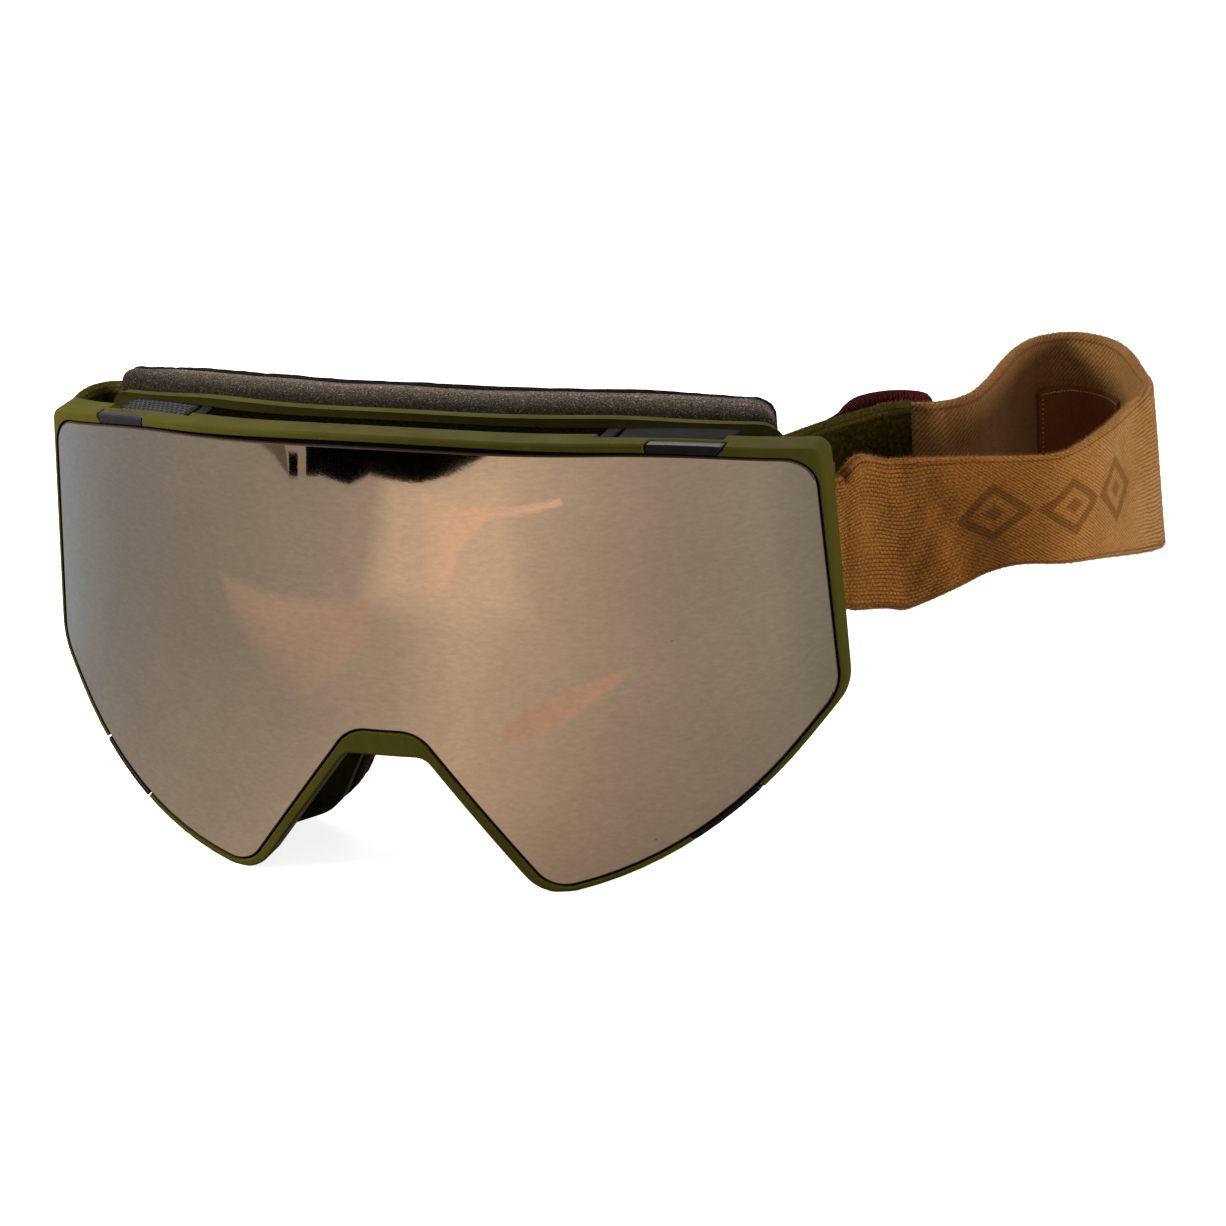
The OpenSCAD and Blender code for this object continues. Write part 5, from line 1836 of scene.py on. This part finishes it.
FLOOR_HALF = 4000
ROOM_HALF = 1500
ROOM_LIFT = 0.1
SOFT_LIFT = 0.2
SHAPE_LIFT = 0.4
LIFT_STEP = 0.05
low_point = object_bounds()[0][2] / MM
floor = stage_shape("floor", square(FLOOR_HALF), low_point, floor_material())
floor.visible_glossy = False
mirrored_only(stage_shape("room", square(ROOM_HALF), low_point + ROOM_LIFT, room_glow()))
halo = soft_glow("halo_shape", (1.14, 1.03, 0.93))
peach = soft_glow("peach_shape", (1.36, 1.08, 0.95))
left_peach = soft_glow("left_peach_shape", (0.80, 0.68, 0.63))
low_peach = soft_glow("low_peach_shape", (0.86, 0.66, 0.58))
dark, shade, beige = (glow(name + "_shape", colour)[0].material for name, colour in (
    ("dark", (0.001, 0.001, 0.001)), ("shade", (0.20, 0.20, 0.20)), ("beige", (0.50, 0.50, 0.48))))
SOFT_SHAPES = [
    (halo, 42, lambda x, y: 0.85, [(-100, -305), (80, -305), (75, -165), (-90, -165)]),
    (left_peach, 12, lambda x, y: np.clip((-70 - y) / 70, 0.3, 1),
     [(-214, -101), (-168, -134), (-110, -167), (-70, -180), (-60, -143), (-81, -85), (-118, -82),
      (-156, -89)]),
    (peach, 3.8, lambda x, y: np.clip((x + 45) / 50, 0.2, 1),
     [(-41, -281), (125, -259), (128, -250), (42, -258), (7, -230), (-2, -203), (-25, -193), (-32, -231)]),
    (low_peach, 3.8, lambda x, y: 0.85,
     [(30, -89), (32, -100), (51, -112), (83, -116), (125, -109), (118, -104), (84, -97), (51, -88)]),
]
SHAPES = [
    (beige, [(-262, -222), (-228, -229), (-203, -228), (-183, -241), (-199, -269), (-260, -300),
             (-330, -260)]),
    (shade, [(-262, -222), (-228, -229), (-203, -228), (-232, -258), (-275, -246)]),
    (dark, [(-215, -246), (-204, -254), (-192, -234), (-202, -227)]),
    (dark, [(-199, -269), (-183, -241), (-167, -252), (-128, -262), (-106, -280), (-41, -288), (-4, -298),
            (36, -309), (66, -318), (110, -420), (-230, -420)]),
]
for k, (material, edge, fade, corners) in enumerate(SOFT_SHAPES):
    lift = low_point + SOFT_LIFT + LIFT_STEP * k
    mirrored_only(stage_shape("soft_" + str(k), corners, lift, material, edge, fade))
for k, (material, corners) in enumerate(SHAPES):
    lift = low_point + SHAPE_LIFT + LIFT_STEP * k
    mirrored_only(stage_shape("reflected_" + str(k), corners, lift, material))

scene.world = room_world()
lamp("key", (-330, -190, 260), (-80, 0, 40), 200, 3.4, (1.0, 0.98, 0.94))
lamp("side", (905, 100, 120), (120, 90, 30), 300, 6.8, (1.0, 0.96, 0.9))
lamp("back", (-100, 640, 640), (20, 70, 20), 500, 6.0)
